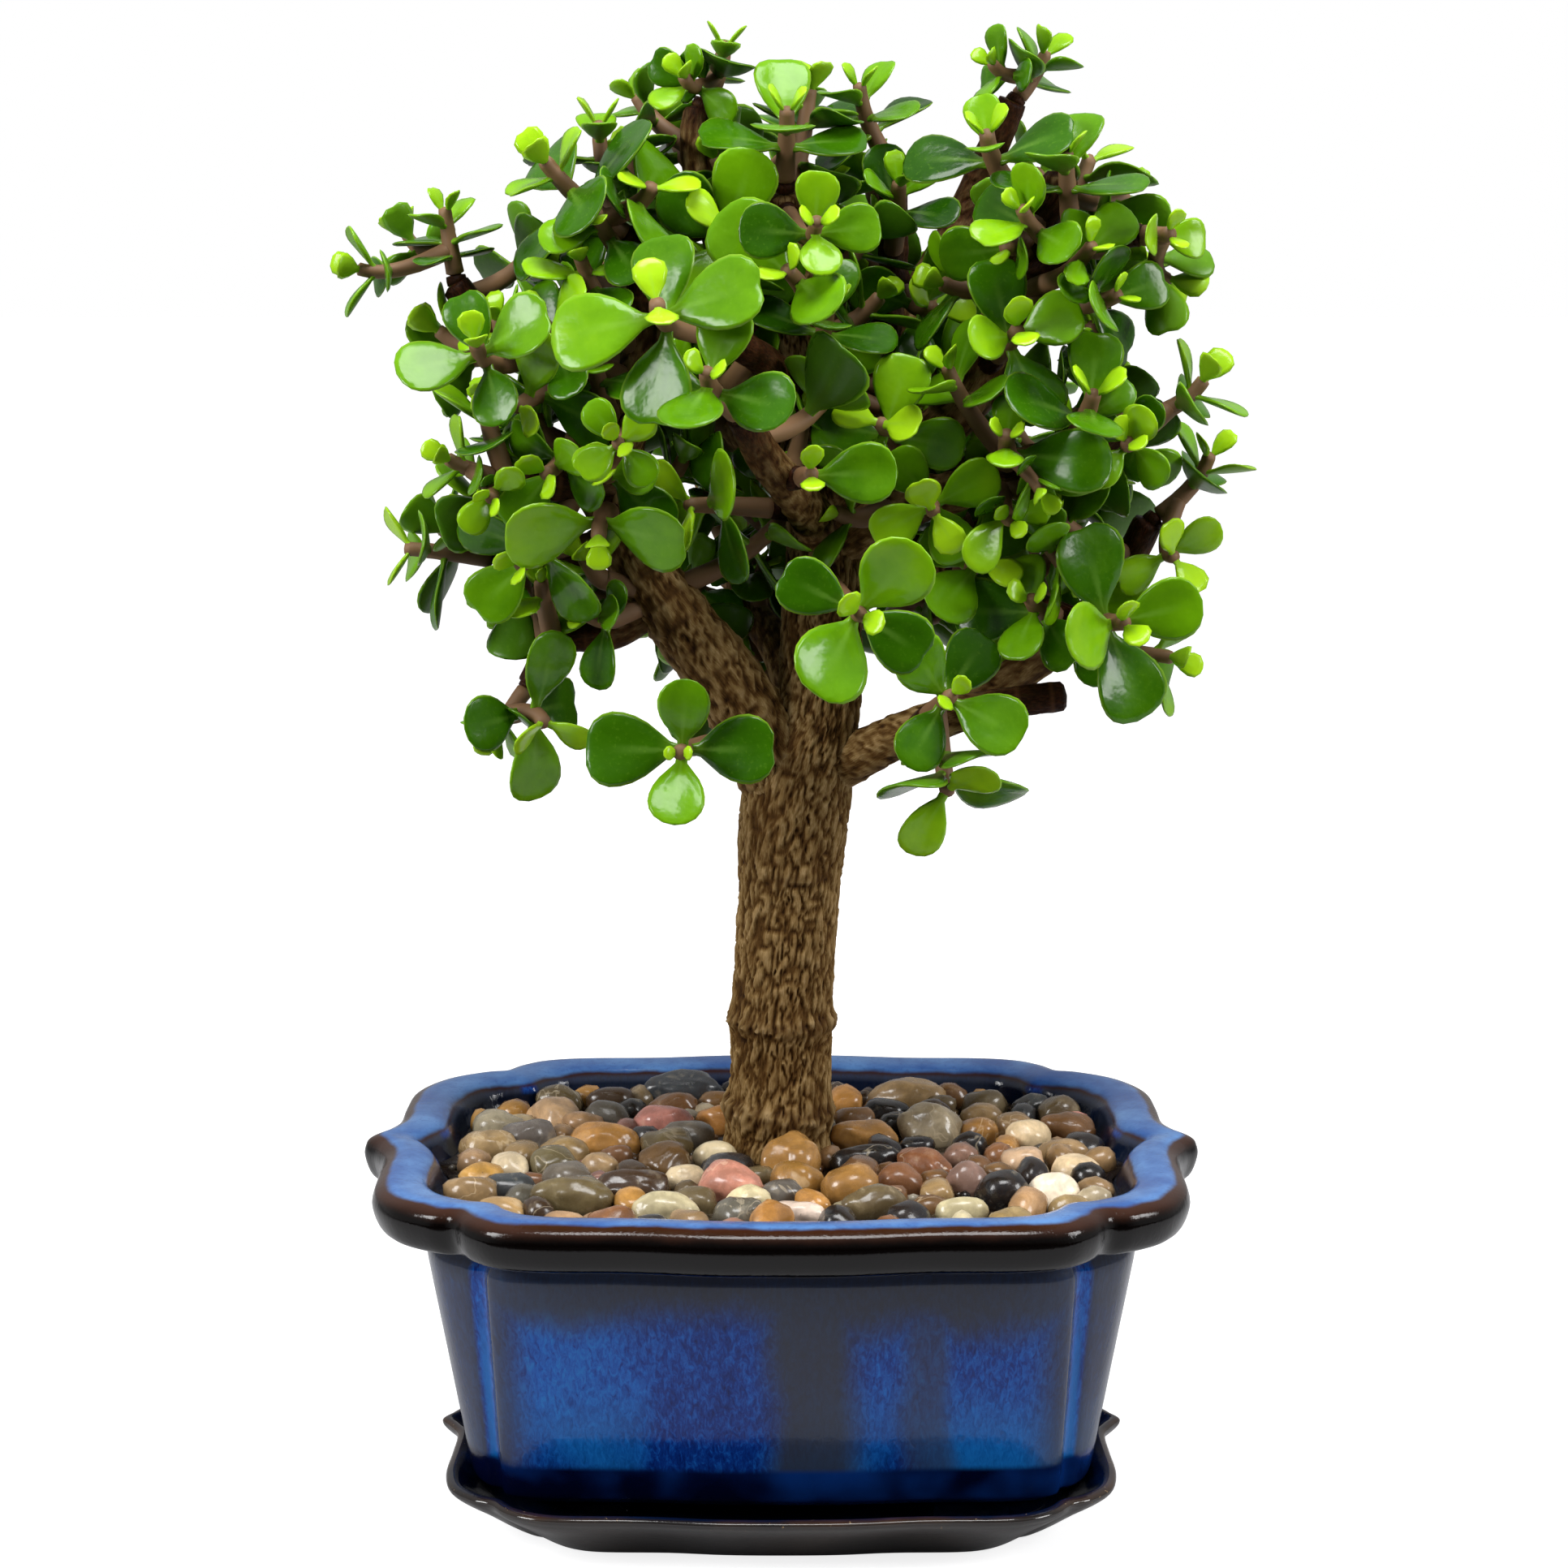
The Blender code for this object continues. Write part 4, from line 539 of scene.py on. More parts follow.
# Growth of the leafy sprays.
def vec(row):
    return Vector(row[:3])


def curvePoint(ends, t):
    a, b, c, d = ends
    u = 1 - t
    return a * u ** 3 + b * 3 * u * u * t + c * 3 * u * t * t + d * t ** 3


def curveWalk(ends, count):
    return [curvePoint(ends, i / (count - 1)) for i in range(count)]


def nearestLimb(point):
    # Radius and direction of the limb whose centre line passes closest to a point.
    best = (1e9, 3.0, Vector((0, 0, 1)))
    for path in [trunkPath] + limbs:
        for a, b in zip(path, path[1:]):
            first, second = vec(a), vec(b)
            run = second - first
            share = min(max((point - first).dot(run) / run.length_squared, 0), 1)
            away = (first + run * share - point).length
            if away < best[0]:
                best = (away, a[3] + (b[3] - a[3]) * share, run.normalized())
    return best[1], best[2]


def isLimbEnd(point):
    return any((vec(path[-1]) - point).length < 0.01 for path in [trunkPath] + limbs)


def twigHeading(start, tip, look):
    # The way a twig sets out, to come in at its tip along look.
    return (tip - look * (tip - start).length * twigEase - start).normalized()


def planTwigs(plan):
    # Works out each twig's centre line and, for the first of a spray, its stub on the limb.
    sprays = []
    for rows in plan:
        twigs = []
        for start, tip, look, roll, sizes in rows:
            tip = Vector(tip)
            look = Vector(look).normalized()
            stub = None
            if isinstance(start, tuple):
                start = Vector(start)
                heading = twigHeading(start, tip, look)
                limbRadius, limbWay = nearestLimb(start)
                lean = heading.cross(limbWay).length
                if isLimbEnd(start):
                    reach = 1.2 + limbRadius * lean * 1.1
                else:
                    reach = (limbRadius + 1.9 * abs(heading.dot(limbWay))) / max(lean, 0.4) + 1.0
                stub = (start, heading, reach)
                start = start + heading * (reach + gap)
            else:
                start = curvePoint(twigs[0]["ends"], max(start, 4.0 / twigs[0]["length"]))
                heading = twigHeading(start, tip, look)
            away = (tip - start).length
            ends = (start, start + heading * away * twigEase, tip - look * away * twigEase, tip)
            thick = min(1.9, 1.15 + 0.045 * max(abs(s) for s in sizes))
            walk = curveWalk(ends, 9)
            length = sum((a - b).length for a, b in zip(walk[1:], walk))
            twigs.append({"ends": ends, "radius": thick, "stub": stub, "roll": roll, "sizes": sizes,
                          "length": length})
        sprays.append(twigs)
    return sprays


def twigRadius(twig, t):
    return twig["radius"] * (1 - 0.3 * t)


openings = (30, 58, 78, 90, 98)     # how far the leaves open, in degrees, pair by pair from the tip


def leafSites(twig, chance):
    # Where each leaf of a twig starts and points; pairs stand crosswise to their neighbours.
    sites = []
    back = 0.5
    for order, size in enumerate(twig["sizes"]):
        t = 1 - back / twig["length"]
        if t < 0.12:
            break
        here = curvePoint(twig["ends"], t)
        ahead = (curvePoint(twig["ends"], min(t + 0.02, 1)) - curvePoint(twig["ends"], t - 0.02)).normalized()
        side = Vector((ahead.y, -ahead.x, 0))
        side = side if side.length > 0.3 else Vector((-1, 0, 0))
        side = (side - ahead * side.dot(ahead)).normalized()
        other = side.cross(ahead)
        stage = order if abs(twig["sizes"][0]) < 7.5 else order + 1
        for half in range(1 if size < 0 else 2):
            length = abs(size) * chance.uniform(0.93, 1.06)
            sites.append({"at": here, "ahead": ahead, "side": side, "other": other,
                          "azimuth": twig["roll"] + 90 * order + 180 * half + chance.uniform(-7, 7),
                          "opening": openings[min(stage, 4)] + chance.uniform(-6, 6),
                          "length": length, "width": length * chance.uniform(0.68, 0.8),
                          "cup": chance.uniform(0.05, 0.14), "droop": chance.uniform(0.0, 0.12),
                          "twigRadius": twigRadius(twig, t), "order": order})
        nextSize = abs(twig["sizes"][min(order + 1, len(twig["sizes"]) - 1)])
        back += 1.2 + 0.15 * nextSize
    return sites


def leafFrame(site, openBy, turnBy):
    azimuth = math.radians(site["azimuth"] + turnBy)
    opening = math.radians(site["opening"] + openBy)
    outward = site["side"] * math.cos(azimuth) + site["other"] * math.sin(azimuth)
    along = site["ahead"] * math.cos(opening) + outward * math.sin(opening)
    upward = site["ahead"] - along * site["ahead"].dot(along)
    upward = upward if upward.length > 0.05 else -outward
    upward.normalize()
    across = along.cross(upward).normalized()
    return across, along, upward, outward


def bendLeaf(x, y, z, length, width, site):
    # Cups the blade across and lets its end fall a little.
    z = z + site["cup"] * width * (2 * x / width) ** 2 - site["droop"] * length * (y / length) ** 2
    return x, y, z


# Corners of a leaf: (how far along, half width), three for a large leaf and the last for a small one.
leafShape = [(0.34, 0.28), (0.68, 0.5), (0.91, 0.34), (0.66, 0.52)]
hullShape = [(0.34, 0.38), (0.68, 0.5), (0.91, 0.36), (0.66, 0.52)]


def leafPoints(site, scale, shape, grow=0.0, cut=0.0):
    # The few corner points of a faceted leaf; grow thickens it and cut trims its base, for clearance tests.
    length = site["length"] * scale
    width = site["width"] * scale
    half = min(0.11 * length, site["twigRadius"] * 0.72)
    thick = 0.32 + 0.052 * length + grow
    base = cut * length
    rows = [(-half, base, 0), (half, base, 0), (0, base, half * 0.75), (0, base, -half * 0.75),
            (0, length + grow, 0), (0, 0.56 * length, thick), (0, 0.56 * length, -thick)]
    for t, w in (shape[:3] if site["length"] > 10 else shape[3:]):
        rows += [(w * width + grow, t * length, 0), (-w * width - grow, t * length, 0)]
    return [bendLeaf(x, y, z, length, width, site) for x, y, z in rows]


def placeLeaf(points, site, frame):
    across, along, upward, outward = frame
    root = site["at"] + outward * site["twigRadius"] * 0.3
    return [root + across * x + along * y + upward * z for x, y, z in points]


# Small changes of a leaf: (degrees opened, degrees turned, scale).
tweaks = [(0, 0, 1), (12, 0, 1), (-12, 0, 1), (0, 15, 1), (0, -15, 1), (10, 15, 0.92), (-10, -15, 0.92),
          (24, 0, 0.92), (-24, 0, 0.92), (0, 28, 0.88), (0, -28, 0.88), (18, 25, 0.85), (-18, 25, 0.85),
          (18, -25, 0.8), (-18, -25, 0.8), (35, 0, 0.8), (-35, 0, 0.75), (0, 42, 0.75), (0, -42, 0.75),
          (30, 30, 0.66), (-30, -30, 0.66), (30, -30, 0.6), (-30, 30, 0.6), (0, 0, 0.55), (20, 0, 0.5)]


def leafSurface(site, scale, frame, grow=0.0, cut=0.0):
    # Box and search tree of a leaf: the hull of an unbent blade, whose corners then go to their bent places.
    mesh = bmesh.new()
    for place in leafPoints(dict(site, cup=0.0, droop=0.0), scale, hullShape, grow, cut):
        mesh.verts.new(place)
    bmesh.ops.convex_hull(mesh, input=list(mesh.verts))
    for vert, place in zip(mesh.verts, placeLeaf(leafPoints(site, scale, leafShape, grow, cut), site, frame)):
        vert.co = place
    box, tree = boxOf([vert.co for vert in mesh.verts]), BVHTree.FromBMesh(mesh)
    mesh.free()
    return box, tree


def boxOf(points):
    return ([min(p[i] for p in points) for i in range(3)], [max(p[i] for p in points) for i in range(3)])


def boxesMeet(a, b):
    return all(a[0][i] <= b[1][i] and b[0][i] <= a[1][i] for i in range(3))


def leavingWay(twig):
    return (twig["ends"][1] - twig["ends"][0]).normalized()


def guardTree(twigs):
    # Box and search tree of the twigs of a spray, as closed six-sided tubes that are a little thicker.
    points, faces = [], []
    for twig in twigs:
        walk = [(p, twigRadius(twig, i / 5) + twigClear) for i, p in enumerate(curveWalk(twig["ends"], 6))]
        starts = range(len(points), len(points) + 36, 6)
        points += [p / mm for ring in tubeRings(walk, 6, leavingWay(twig)) for p in ring]
        for low, high in zip(starts, starts[1:]):
            faces += [[low + k, low + (k + 1) % 6, high + (k + 1) % 6, high + k] for k in range(6)]
        faces += [list(range(start, start + 6)) for start in (starts[0], starts[-1])]
    return boxOf(points), BVHTree.FromPolygons(points, faces)


def clashes(box, tree, others):
    return any(boxesMeet(box, other[0]) and other[1].overlap(tree) for other in others)


def growLeaves(sprays, chance, woodTree, twigTrees, placedTrees, first=0):
    # Each leaf takes the first of a fixed list of small changes that keeps it clear of everything else.
    result = []
    for number, twigs in enumerate(sprays, first):
        kept = []
        ownTrees = []
        others = twigTrees[:number] + twigTrees[number + 1:] + placedTrees
        for twig in twigs:
            for site in leafSites(twig, chance):
                for openBy, turnBy, scale in tweaks:
                    frame = leafFrame(site, openBy, turnBy)
                    box, tree = leafSurface(site, scale, frame, *leafClear)
                    if woodTree.overlap(tree) or clashes(box, tree, others):
                        continue
                    if clashes(box, leafSurface(site, scale, frame, *ownClear)[1], ownTrees):
                        continue
                    kept.append((site, scale, frame))
                    ownTrees.append(leafSurface(site, scale, frame))
                    break
        placedTrees += ownTrees
        result.append(kept)
    return result


def ellipseFits(x, y, length, width, turn):
    # True when the pebble's outline stays inside the pot wall and off the trunk.
    outline = inset(innerAt(stoneLevel), 0.9)
    for k in range(12):
        a = math.tau * k / 12
        u, v = math.cos(a) * length / 2, math.sin(a) * width / 2
        px = x + u * math.cos(turn) - v * math.sin(turn)
        py = y + u * math.sin(turn) + v * math.cos(turn)
        if not insideOutline(outline, px, py):
            return False
        if math.hypot(px - trunkAt[0], py - trunkAt[1]) < trunkRoom:
            return False
    return True


# Tones of the pebbles that follow by rule, the common ones twice.
tones = ("tan", "ochre", "olive", "grey", "cream", "dark", "tan", "greige", "black", "brown", "slate",
         "greige", "mauve")


def layPebbles():
    # The listed pebbles first, then smaller and smaller ones wherever the bed still shows.
    chance, toneChance = random.Random(seeds["stones"]), random.Random(seeds["stoneTones"])
    laid = []
    for x, y, length, width, turn, tone in pebbleRows:
        turn = math.radians(turn)
        for _ in range(14):
            if ellipseFits(x, y, length, width, turn):
                break
            away = Vector((x - trunkAt[0], y - trunkAt[1], 0))
            if away.length < trunkRoom + length * 0.55:
                x += away.x / away.length * 0.8
                y += away.y / away.length * 0.8
            else:
                x *= 0.965
                y *= 0.965
        laid.append([x, y, length, width, turn, tone])
    for tries in range(stoneTries):
        share = tries / stoneTries
        length = chance.uniform(8.5, 12) * (1 - 0.42 * share)
        width = length * chance.uniform(0.62, 0.85)
        turn = chance.uniform(0, math.pi)
        x = chance.uniform(-66, 66)
        y = chance.uniform(-50, 50)
        if not ellipseFits(x, y, length, width, turn):
            continue
        size = math.sqrt(length * width) / 2
        if any(math.hypot(x - o[0], y - o[1]) < (size + math.sqrt(o[2] * o[3]) / 2) * 0.9 for o in laid):
            continue
        laid.append([x, y, length, width, turn, toneChance.choice(tones)])
    stones = []
    for x, y, length, width, turn, tone in laid:
        height = width * chance.uniform(0.36, 0.46)
        level = bedTop + height * chance.uniform(0.0, 0.38)
        size = Vector((length / 2, width / 2, height))
        stones.append({"at": Vector((x, y, level)), "size": size, "turn": turn, "tone": tone,
                       "tilt": chance.uniform(-0.16, 0.16)})
    return stones


# Pot and saucer.
# Glaze colours; one grey among them is painted reflection on the wall, the rest are the glaze's own.
potLook = {"around": 5, "along": 4, "cobalt": (0.003, 0.028, 0.19), "deep": (0.001, 0.007, 0.070),
           "light": (0.007, 0.085, 0.37), "cyan": (0.007, 0.16, 0.46), "paintedReflection": (0.028, 0.031, 0.038),
           "brown": (0.034, 0.011, 0.005), "black": (0.0012, 0.0006, 0.0005),
           "rimBlue": (0.026, 0.080, 0.26), "rimPale": (0.085, 0.20, 0.44)}
saucerLook = {"well": (0.0015, 0.004, 0.015), "outside": (0.010, 0.008, 0.0075),
              "brown": (0.055, 0.021, 0.007)}


def scaled(outline, share):
    return [(x * share, y * share) for x, y in outline]


def quarterPlace():
    # How far along the quarter outline each point of the smooth outline is, for the grooves.
    order = [abs(x) for x, y in fullOutline([(i, 0) for i in range(len(rimQuarter))])]
    return [v[0] for v in smoothLine([(q,) for q in order], potLook["around"], True)]


def loftRows(stations):
    # stations: (height, outline, three marks); smooth both round the pot and up its profile.
    rows = []
    for height, outline, marks in stations:
        ring = smoothLine(outline, potLook["around"], True)
        rows.append(tuple(v for x, y in ring for v in (x, y, height)) + tuple(marks))
    return smoothLine(rows, potLook["along"])


def loftPiece(mesh, stations, name):
    layer = mesh.verts.layers.float_vector.new(name)
    grooveLayer = mesh.verts.layers.float.new("groove")
    rows = loftRows(stations)
    quarter = quarterPlace()
    # The two grooves lie at 6.25 and 11.2 points along each quarter.
    grooves = [math.exp(-((q - 6.25) / 0.5) ** 2) + 0.7 * math.exp(-((q - 11.2) / 0.5) ** 2) for q in quarter]
    rings = [[Vector(row[i:i + 3]) * mm for i in range(0, len(row) - 3, 3)] for row in rows]
    marks = {layer: [[row[-3:]] * len(quarter) for row in rows], grooveLayer: [grooves] * len(rows)}
    wrapRings(mesh, rings, 0, marks)


def glazePaint():
    look = potLook
    paint = Paint("potGlaze", {"Specular IOR Level": 0.26})
    here = paint.here()
    x, y, z = paint.parts(here)
    rimTop, rimOuter, inside = paint.parts(paint.kept("potMark"))
    groove = paint.kept("groove", "Fac")
    sway = paint.cloud(here, (24, 24, 13), 3.0, 0.55)
    fleck = paint.cloud(here, (1150, 1150, 330), 3.0, 0.62, 0.9)
    fine = paint.cloud(here, (2600, 2600, 1100), 2.0)
    patch = paint.cloud(here, (38, 38, 24), 2.0)
    blue = paint.ramp(fleck * 0.62 + fine * 0.16 + patch * 0.42 - 0.10, [
        (0.30, look["deep"]), (0.46, look["cobalt"]), (0.62, look["light"]), (0.80, look["cyan"])])
    # Brighter low on the wall; painted grey reflection in bands down the wall, painted shade under the rim.
    low = z.band(0.036, 0.013) * patch.band(0.42, 0.62)
    blue = paint.mixed(blue, (low * 0.55, look["cyan"]))
    swayed = x + (sway - 0.5) * 0.02
    # Painted grey reflection in two bands down the front and at both ends; under the rim painted shade too.
    run = (swayed - 0.0065).maths("ABSOLUTE").band(0.0125, 0.0045)
    run = run.maths("MAXIMUM", (swayed - 0.0265).maths("ABSOLUTE").band(0.006, 0.002) * 0.7)
    ends = x.maths("ABSOLUTE").band(0.041, 0.049)
    underRimShadeAndReflection = (z + (sway - 0.5) * 0.03).band(0.041, 0.051)
    paintedReflection = run.maths("MAXIMUM", underRimShadeAndReflection).maths("MAXIMUM", ends * 0.92) * (1 - groove.band(0.25, 0.75))
    footBlue = paint.mixed((0.0008, 0.002, 0.018),
                           (paint.cloud(here, (60, 60, 60), 2.0).band(0.42, 0.66), (0.003, 0.03, 0.17)))
    # Over the wall: the painted grey reflection, a painted light-blue reflection line down the grooves, then
    # the foot band.
    wall = paint.mixed(blue, (paintedReflection * 0.9, look["paintedReflection"]),
                       (groove.band(0.55, 1.0) * z.band(0.053, 0.030) * 0.8, (0.004, 0.11, 0.36)),
                       (z.band(0.0165, 0.0150), footBlue))
    rim = paint.mixed(look["rimBlue"],
                      (paint.cloud(here, (60, 60, 200), 4.0, 0.6).band(0.35, 0.7), look["rimPale"]),
                      (paint.cloud(here, (1500, 1500, 1500), 2.0).band(0.5, 0.8) * 0.35, (0.02, 0.04, 0.16)))
    rimNoise = (paint.cloud(here, (130, 130, 130)) - 0.5) * 0.5
    top = (rimTop + rimNoise).band(0.42, 0.72)
    edge = (rimTop + rimNoise * 0.5).band(0.22, 0.50) * (1 - top)
    face = paint.mixed(look["black"], ((z + rimNoise * 0.003).band(0.0624, 0.0648), look["brown"]))
    colour = paint.mixed(wall, (rimOuter.band(0.3, 0.7), face),
                         (inside.band(0.3, 0.7), (0.0015, 0.005, 0.017)),
                         (edge * 0.9, look["brown"]), (top, rim))
    paint.dress({"Base Color": colour, "Roughness": fleck * 0.06 + 0.06})
    paint.bump(fleck * 0.5 + paint.cloud(here, (90, 90, 90), 1.0), 0.25, 0.0004)
    return paint.owner


def saucerPaint():
    look = saucerLook
    paint = Paint("saucerGlaze")
    lip, well, _ = paint.parts(paint.kept("saucerMark"))
    fleck = paint.cloud(paint.here(), (900, 900, 900), 3.0, 0.6)
    patch = paint.cloud(paint.here(), (40, 40, 40), 3.0, 0.6)
    outside = paint.mixed(look["outside"], (patch.band(0.35, 0.7), (0.026, 0.019, 0.015)))
    inner = paint.mixed(look["well"], (patch.band(0.55, 0.72) * 0.6, (0.006, 0.04, 0.14)))
    worn = (lip + (patch - 0.5) * 0.9).band(0.95, 1.30)
    colour = paint.mixed(outside, (well.band(0.35, 0.65), inner), (worn * 0.85, look["brown"]),
                         (lip * fleck.band(0.68, 0.74) * 0.8, (0.30, 0.20, 0.10)))
    paint.dress({"Base Color": colour, "Roughness": 0.10})
    paint.bump(fleck * 0.4 + patch, 0.2, 0.0004)
    return paint.owner


def insetRows(outline, rows):
    # Stations of a loft from rows of (height, inset) or of (height, inset, marks for the paint).
    return [(row[0], inset(outline, row[1]), row[2] if len(row) > 2 else (0, 0, 0)) for row in rows]


def makeSaucer():
    under, lip, well = (0, 0, 1), (1, 0, 0), (0, 1, 0)
    base, floor = inset(lipOutline, 12.5), inset(lipOutline, 12.6)
    plan = [(0, scaled(base, 0), under), (0, scaled(base, 0.5), under)]
    plan += insetRows(lipOutline, [
        (0, 14.5, under), (0, 12.5, (0, 0, 0.6)), (1.3, 10.4), (5, 5.8), (7.4, 2.6, (0.1, 0, 0)),
        (9.2, 0.6, (0.55, 0, 0)), (10.4, 0.2, lip), (10.9, 1.6, (1, 1, 0)), (9.6, 3.4, (0.45, 1, 0)),
        (7, 6.6, well), (4.6, 9.6, well), (saucerFloor, 12.6, well), (saucerFloor, 14.5, well)])
    plan += [(saucerFloor, scaled(floor, 0.5), well), (saucerFloor, scaled(floor, 0), well)]
    mesh = bmesh.new()
    loftPiece(mesh, plan, "saucerMark")
    finished("saucerDish", mesh, [saucerPaint()], ["saucer"])


def makePot():
    plain, outer, inner = (0, 0, 0), (0, 1, 0), (0, 0, 1)
    bottom, floor = inset(bodyAt(8), 2.2), innerAt(floorLevel)
    rim = potRimProfile
    plan = [(8, scaled(bottom, 0), plain), (8, scaled(bottom, 0.5), plain)]
    for row in ((8, 4.2), (8, 2.2), (8.9, 0.7), (10.6, 0), (18, 0), (28, 0), (38, 0), (47, 0), (51.6, 0.1),
                (53.6, 0.9)):
        plan += insetRows(bodyAt(row[0]), [row])
    plan += insetRows(bodyOutline, [(54.7, 1.3)])
    plan += insetRows(rimOutline, [
        (55.3, 7.6, (0, 0.8, 0)), (55.9, 4.3, outer), (*rim[0], outer), (*rim[1], outer), (63, 0.3, outer),
        (*rim[2], (0.15, 1, 0)), (*rim[3], (0.75, 0.6, 0)), (64.95, 5.8, (1, 0.5, 0)), (*rim[4], (0.8, 0, 0)),
        (*rim[5], (0.2, 0, 0.4))])
    plan += [(height, innerAt(height), inner) for height in (60, 55, 35, 14.2)]
    plan += [(floorLevel, inset(floor, 1.6), inner), (floorLevel, scaled(floor, 0.5), inner),
             (floorLevel, scaled(floor, 0), inner)]
    mesh = bmesh.new()
    loftPiece(mesh, plan, "potMark")
    pot = finished("potBody", mesh, [glazePaint()], ["pot"])
    for sideX in (-1, 1):
        mesh = bmesh.new()
        bmesh.ops.create_cone(mesh, cap_ends=True, segments=40, radius1=drainRadius * mm,
                              radius2=drainRadius * mm, depth=20 * mm)
        bmesh.ops.translate(mesh, vec=Vector((sideX * drainAt, 0, 10)) * mm, verts=mesh.verts)
        drill = finished("drainDrill", mesh, [], ridden=False)
        step = pot.modifiers.new("drain", "BOOLEAN")
        step.operation, step.object, step.solver = "DIFFERENCE", drill, "EXACT"
        settle(pot)
        bpy.data.objects.remove(drill, do_unlink=True)
    mesh = bmesh.new()
    mesh.from_mesh(pot.data)
    for sideX in (-1, 1):
        for sideY in (-1, 1):
            foot = bmesh.ops.create_cube(mesh, size=1.0)["verts"]
            bmesh.ops.scale(mesh, vec=Vector((15, 9, footTop - saucerFloor)) * mm, verts=foot)
            for vert in foot:
                if vert.co.z < 0:
                    vert.co.x *= 0.86
                    vert.co.y *= 0.8
            middle = (sideX * footPads[0], sideY * footPads[1], (footTop + saucerFloor) / 2 + gap)
            bmesh.ops.translate(mesh, vec=Vector(middle) * mm, verts=foot)
            edges = list({edge for vert in foot for edge in vert.link_edges})
            bmesh.ops.bevel(mesh, geom=edges, offset=0.8 * mm, affect="EDGES", segments=3, profile=0.5,
                            material=-1)
    for face in mesh.faces:
        face.smooth = True
    mesh.to_mesh(pot.data)
    mesh.free()
    pot.data.set_sharp_from_angle(angle=math.radians(50))


def settle(piece):
    # Applies every modifier of a piece.
    graph = bpy.context.evaluated_depsgraph_get()
    fresh = bpy.data.meshes.new_from_object(piece.evaluated_get(graph))
    piece.modifiers.clear()
    piece.data = fresh


# Pebbles.
pebbleLook = {"chips": 420, "lumps": 0.10, "pits": 0.025}
stoneTones = {"pink": (0.50, 0.20, 0.15), "ochre": (0.36, 0.18, 0.045), "cream": (0.60, 0.47, 0.29),
              "peach": (0.58, 0.36, 0.21), "grey": (0.11, 0.095, 0.075), "olive": (0.125, 0.09, 0.045),
              "tan": (0.30, 0.19, 0.085), "dark": (0.040, 0.022, 0.012), "slate": (0.028, 0.031, 0.034),
              "greige": (0.27, 0.22, 0.15), "white": (0.74, 0.66, 0.52), "black": (0.007, 0.008, 0.010),
              "brown": (0.145, 0.070, 0.028), "rust": (0.20, 0.085, 0.035), "mauve": (0.22, 0.115, 0.09),
              "mottled": (0.26, 0.17, 0.12)}


def pebblePaint():
    paint = Paint("wetPebble", {"Specular IOR Level": 0.35, "Coat Weight": 0.16, "Coat Roughness": 0.05})
    tone = paint.kept("tone")
    _, veins, spots = paint.parts(paint.kept("stone"))
    # Every stone takes its pattern from a place of its own.
    shift = paint.node("ShaderNodeVectorMath", {"operation": "SCALE"}, {0: paint.kept("stone"), "Scale": 3.0})
    shifted = paint.node("ShaderNodeVectorMath", {"operation": "ADD"}, [paint.here(), shift])
    cloud = paint.cloud(shifted, 230.0, 4.0, 0.6, 0.4)
    grains = paint.cloud(shifted, 1500.0, 3.0, 0.6)
    pale = paint.mixed(tone, (0.42, (0.75, 0.62, 0.42)))
    dim = paint.mixed(tone, (0.42, (0.030, 0.015, 0.005)))
    vein = paint.cloud(shifted, 120.0, 3.0, 0.5, 0.6)
    line = (vein - 0.5).maths("ABSOLUTE").band(0.016, 0.004) * veins.band(0.72, 0.85)
    spot = grains.band(0.64, 0.74) * spots.band(0.4, 0.8)
    colour = paint.mixed(dim, (cloud.band(0.35, 0.66), tone), (cloud.band(0.56, 0.80) * 0.65, pale),
                         (line * 0.6, pale), (spot * 0.75, (0.03, 0.016, 0.008)),
                         (grains.band(0.35, 0.7) * 0.25, dim))
    paint.dress({"Base Color": colour, "Roughness": grains * 0.25 + 0.12})
    paint.bump(cloud * 0.6 + grains * 0.18, 0.3, 0.0006)
    return paint.owner


def stonePoint(way, seed, lobes, turn):
    # The surface of a water-worn stone in the direction way, as a share of its half sizes.
    soft = Vector([math.copysign(abs(v) ** 0.88, v) for v in way])
    side = 1 + lobes * math.cos(3 * math.atan2(way.y, way.x) + turn) * (way.x ** 2 + way.y ** 2)
    shift = Vector((seed, seed * 0.37, -seed * 0.61))
    lump = 1 + pebbleLook["lumps"] * 2 * noise.noise(way * 1.15 + shift)
    pit = pebbleLook["pits"] * 2 * noise.noise(way * 3.4 - shift)
    return soft * (lump + pit) * side


def addStone(mesh, layers, at, size, turn, tilt, tone, seed, lobes, detail, marks):
    verts = bmesh.ops.create_icosphere(mesh, subdivisions=detail, radius=1.0)["verts"]
    spin = Matrix.Rotation(turn, 3, "Z") @ Matrix.Rotation(tilt, 3, "Y")
    for vert in verts:
        shape = stonePoint(vert.co.normalized(), seed, lobes, seed * 2.3)
        vert.co = (at + spin @ Vector(a * b for a, b in zip(shape, size))) * mm
        vert[layers[0]] = tone
        vert[layers[1]] = marks


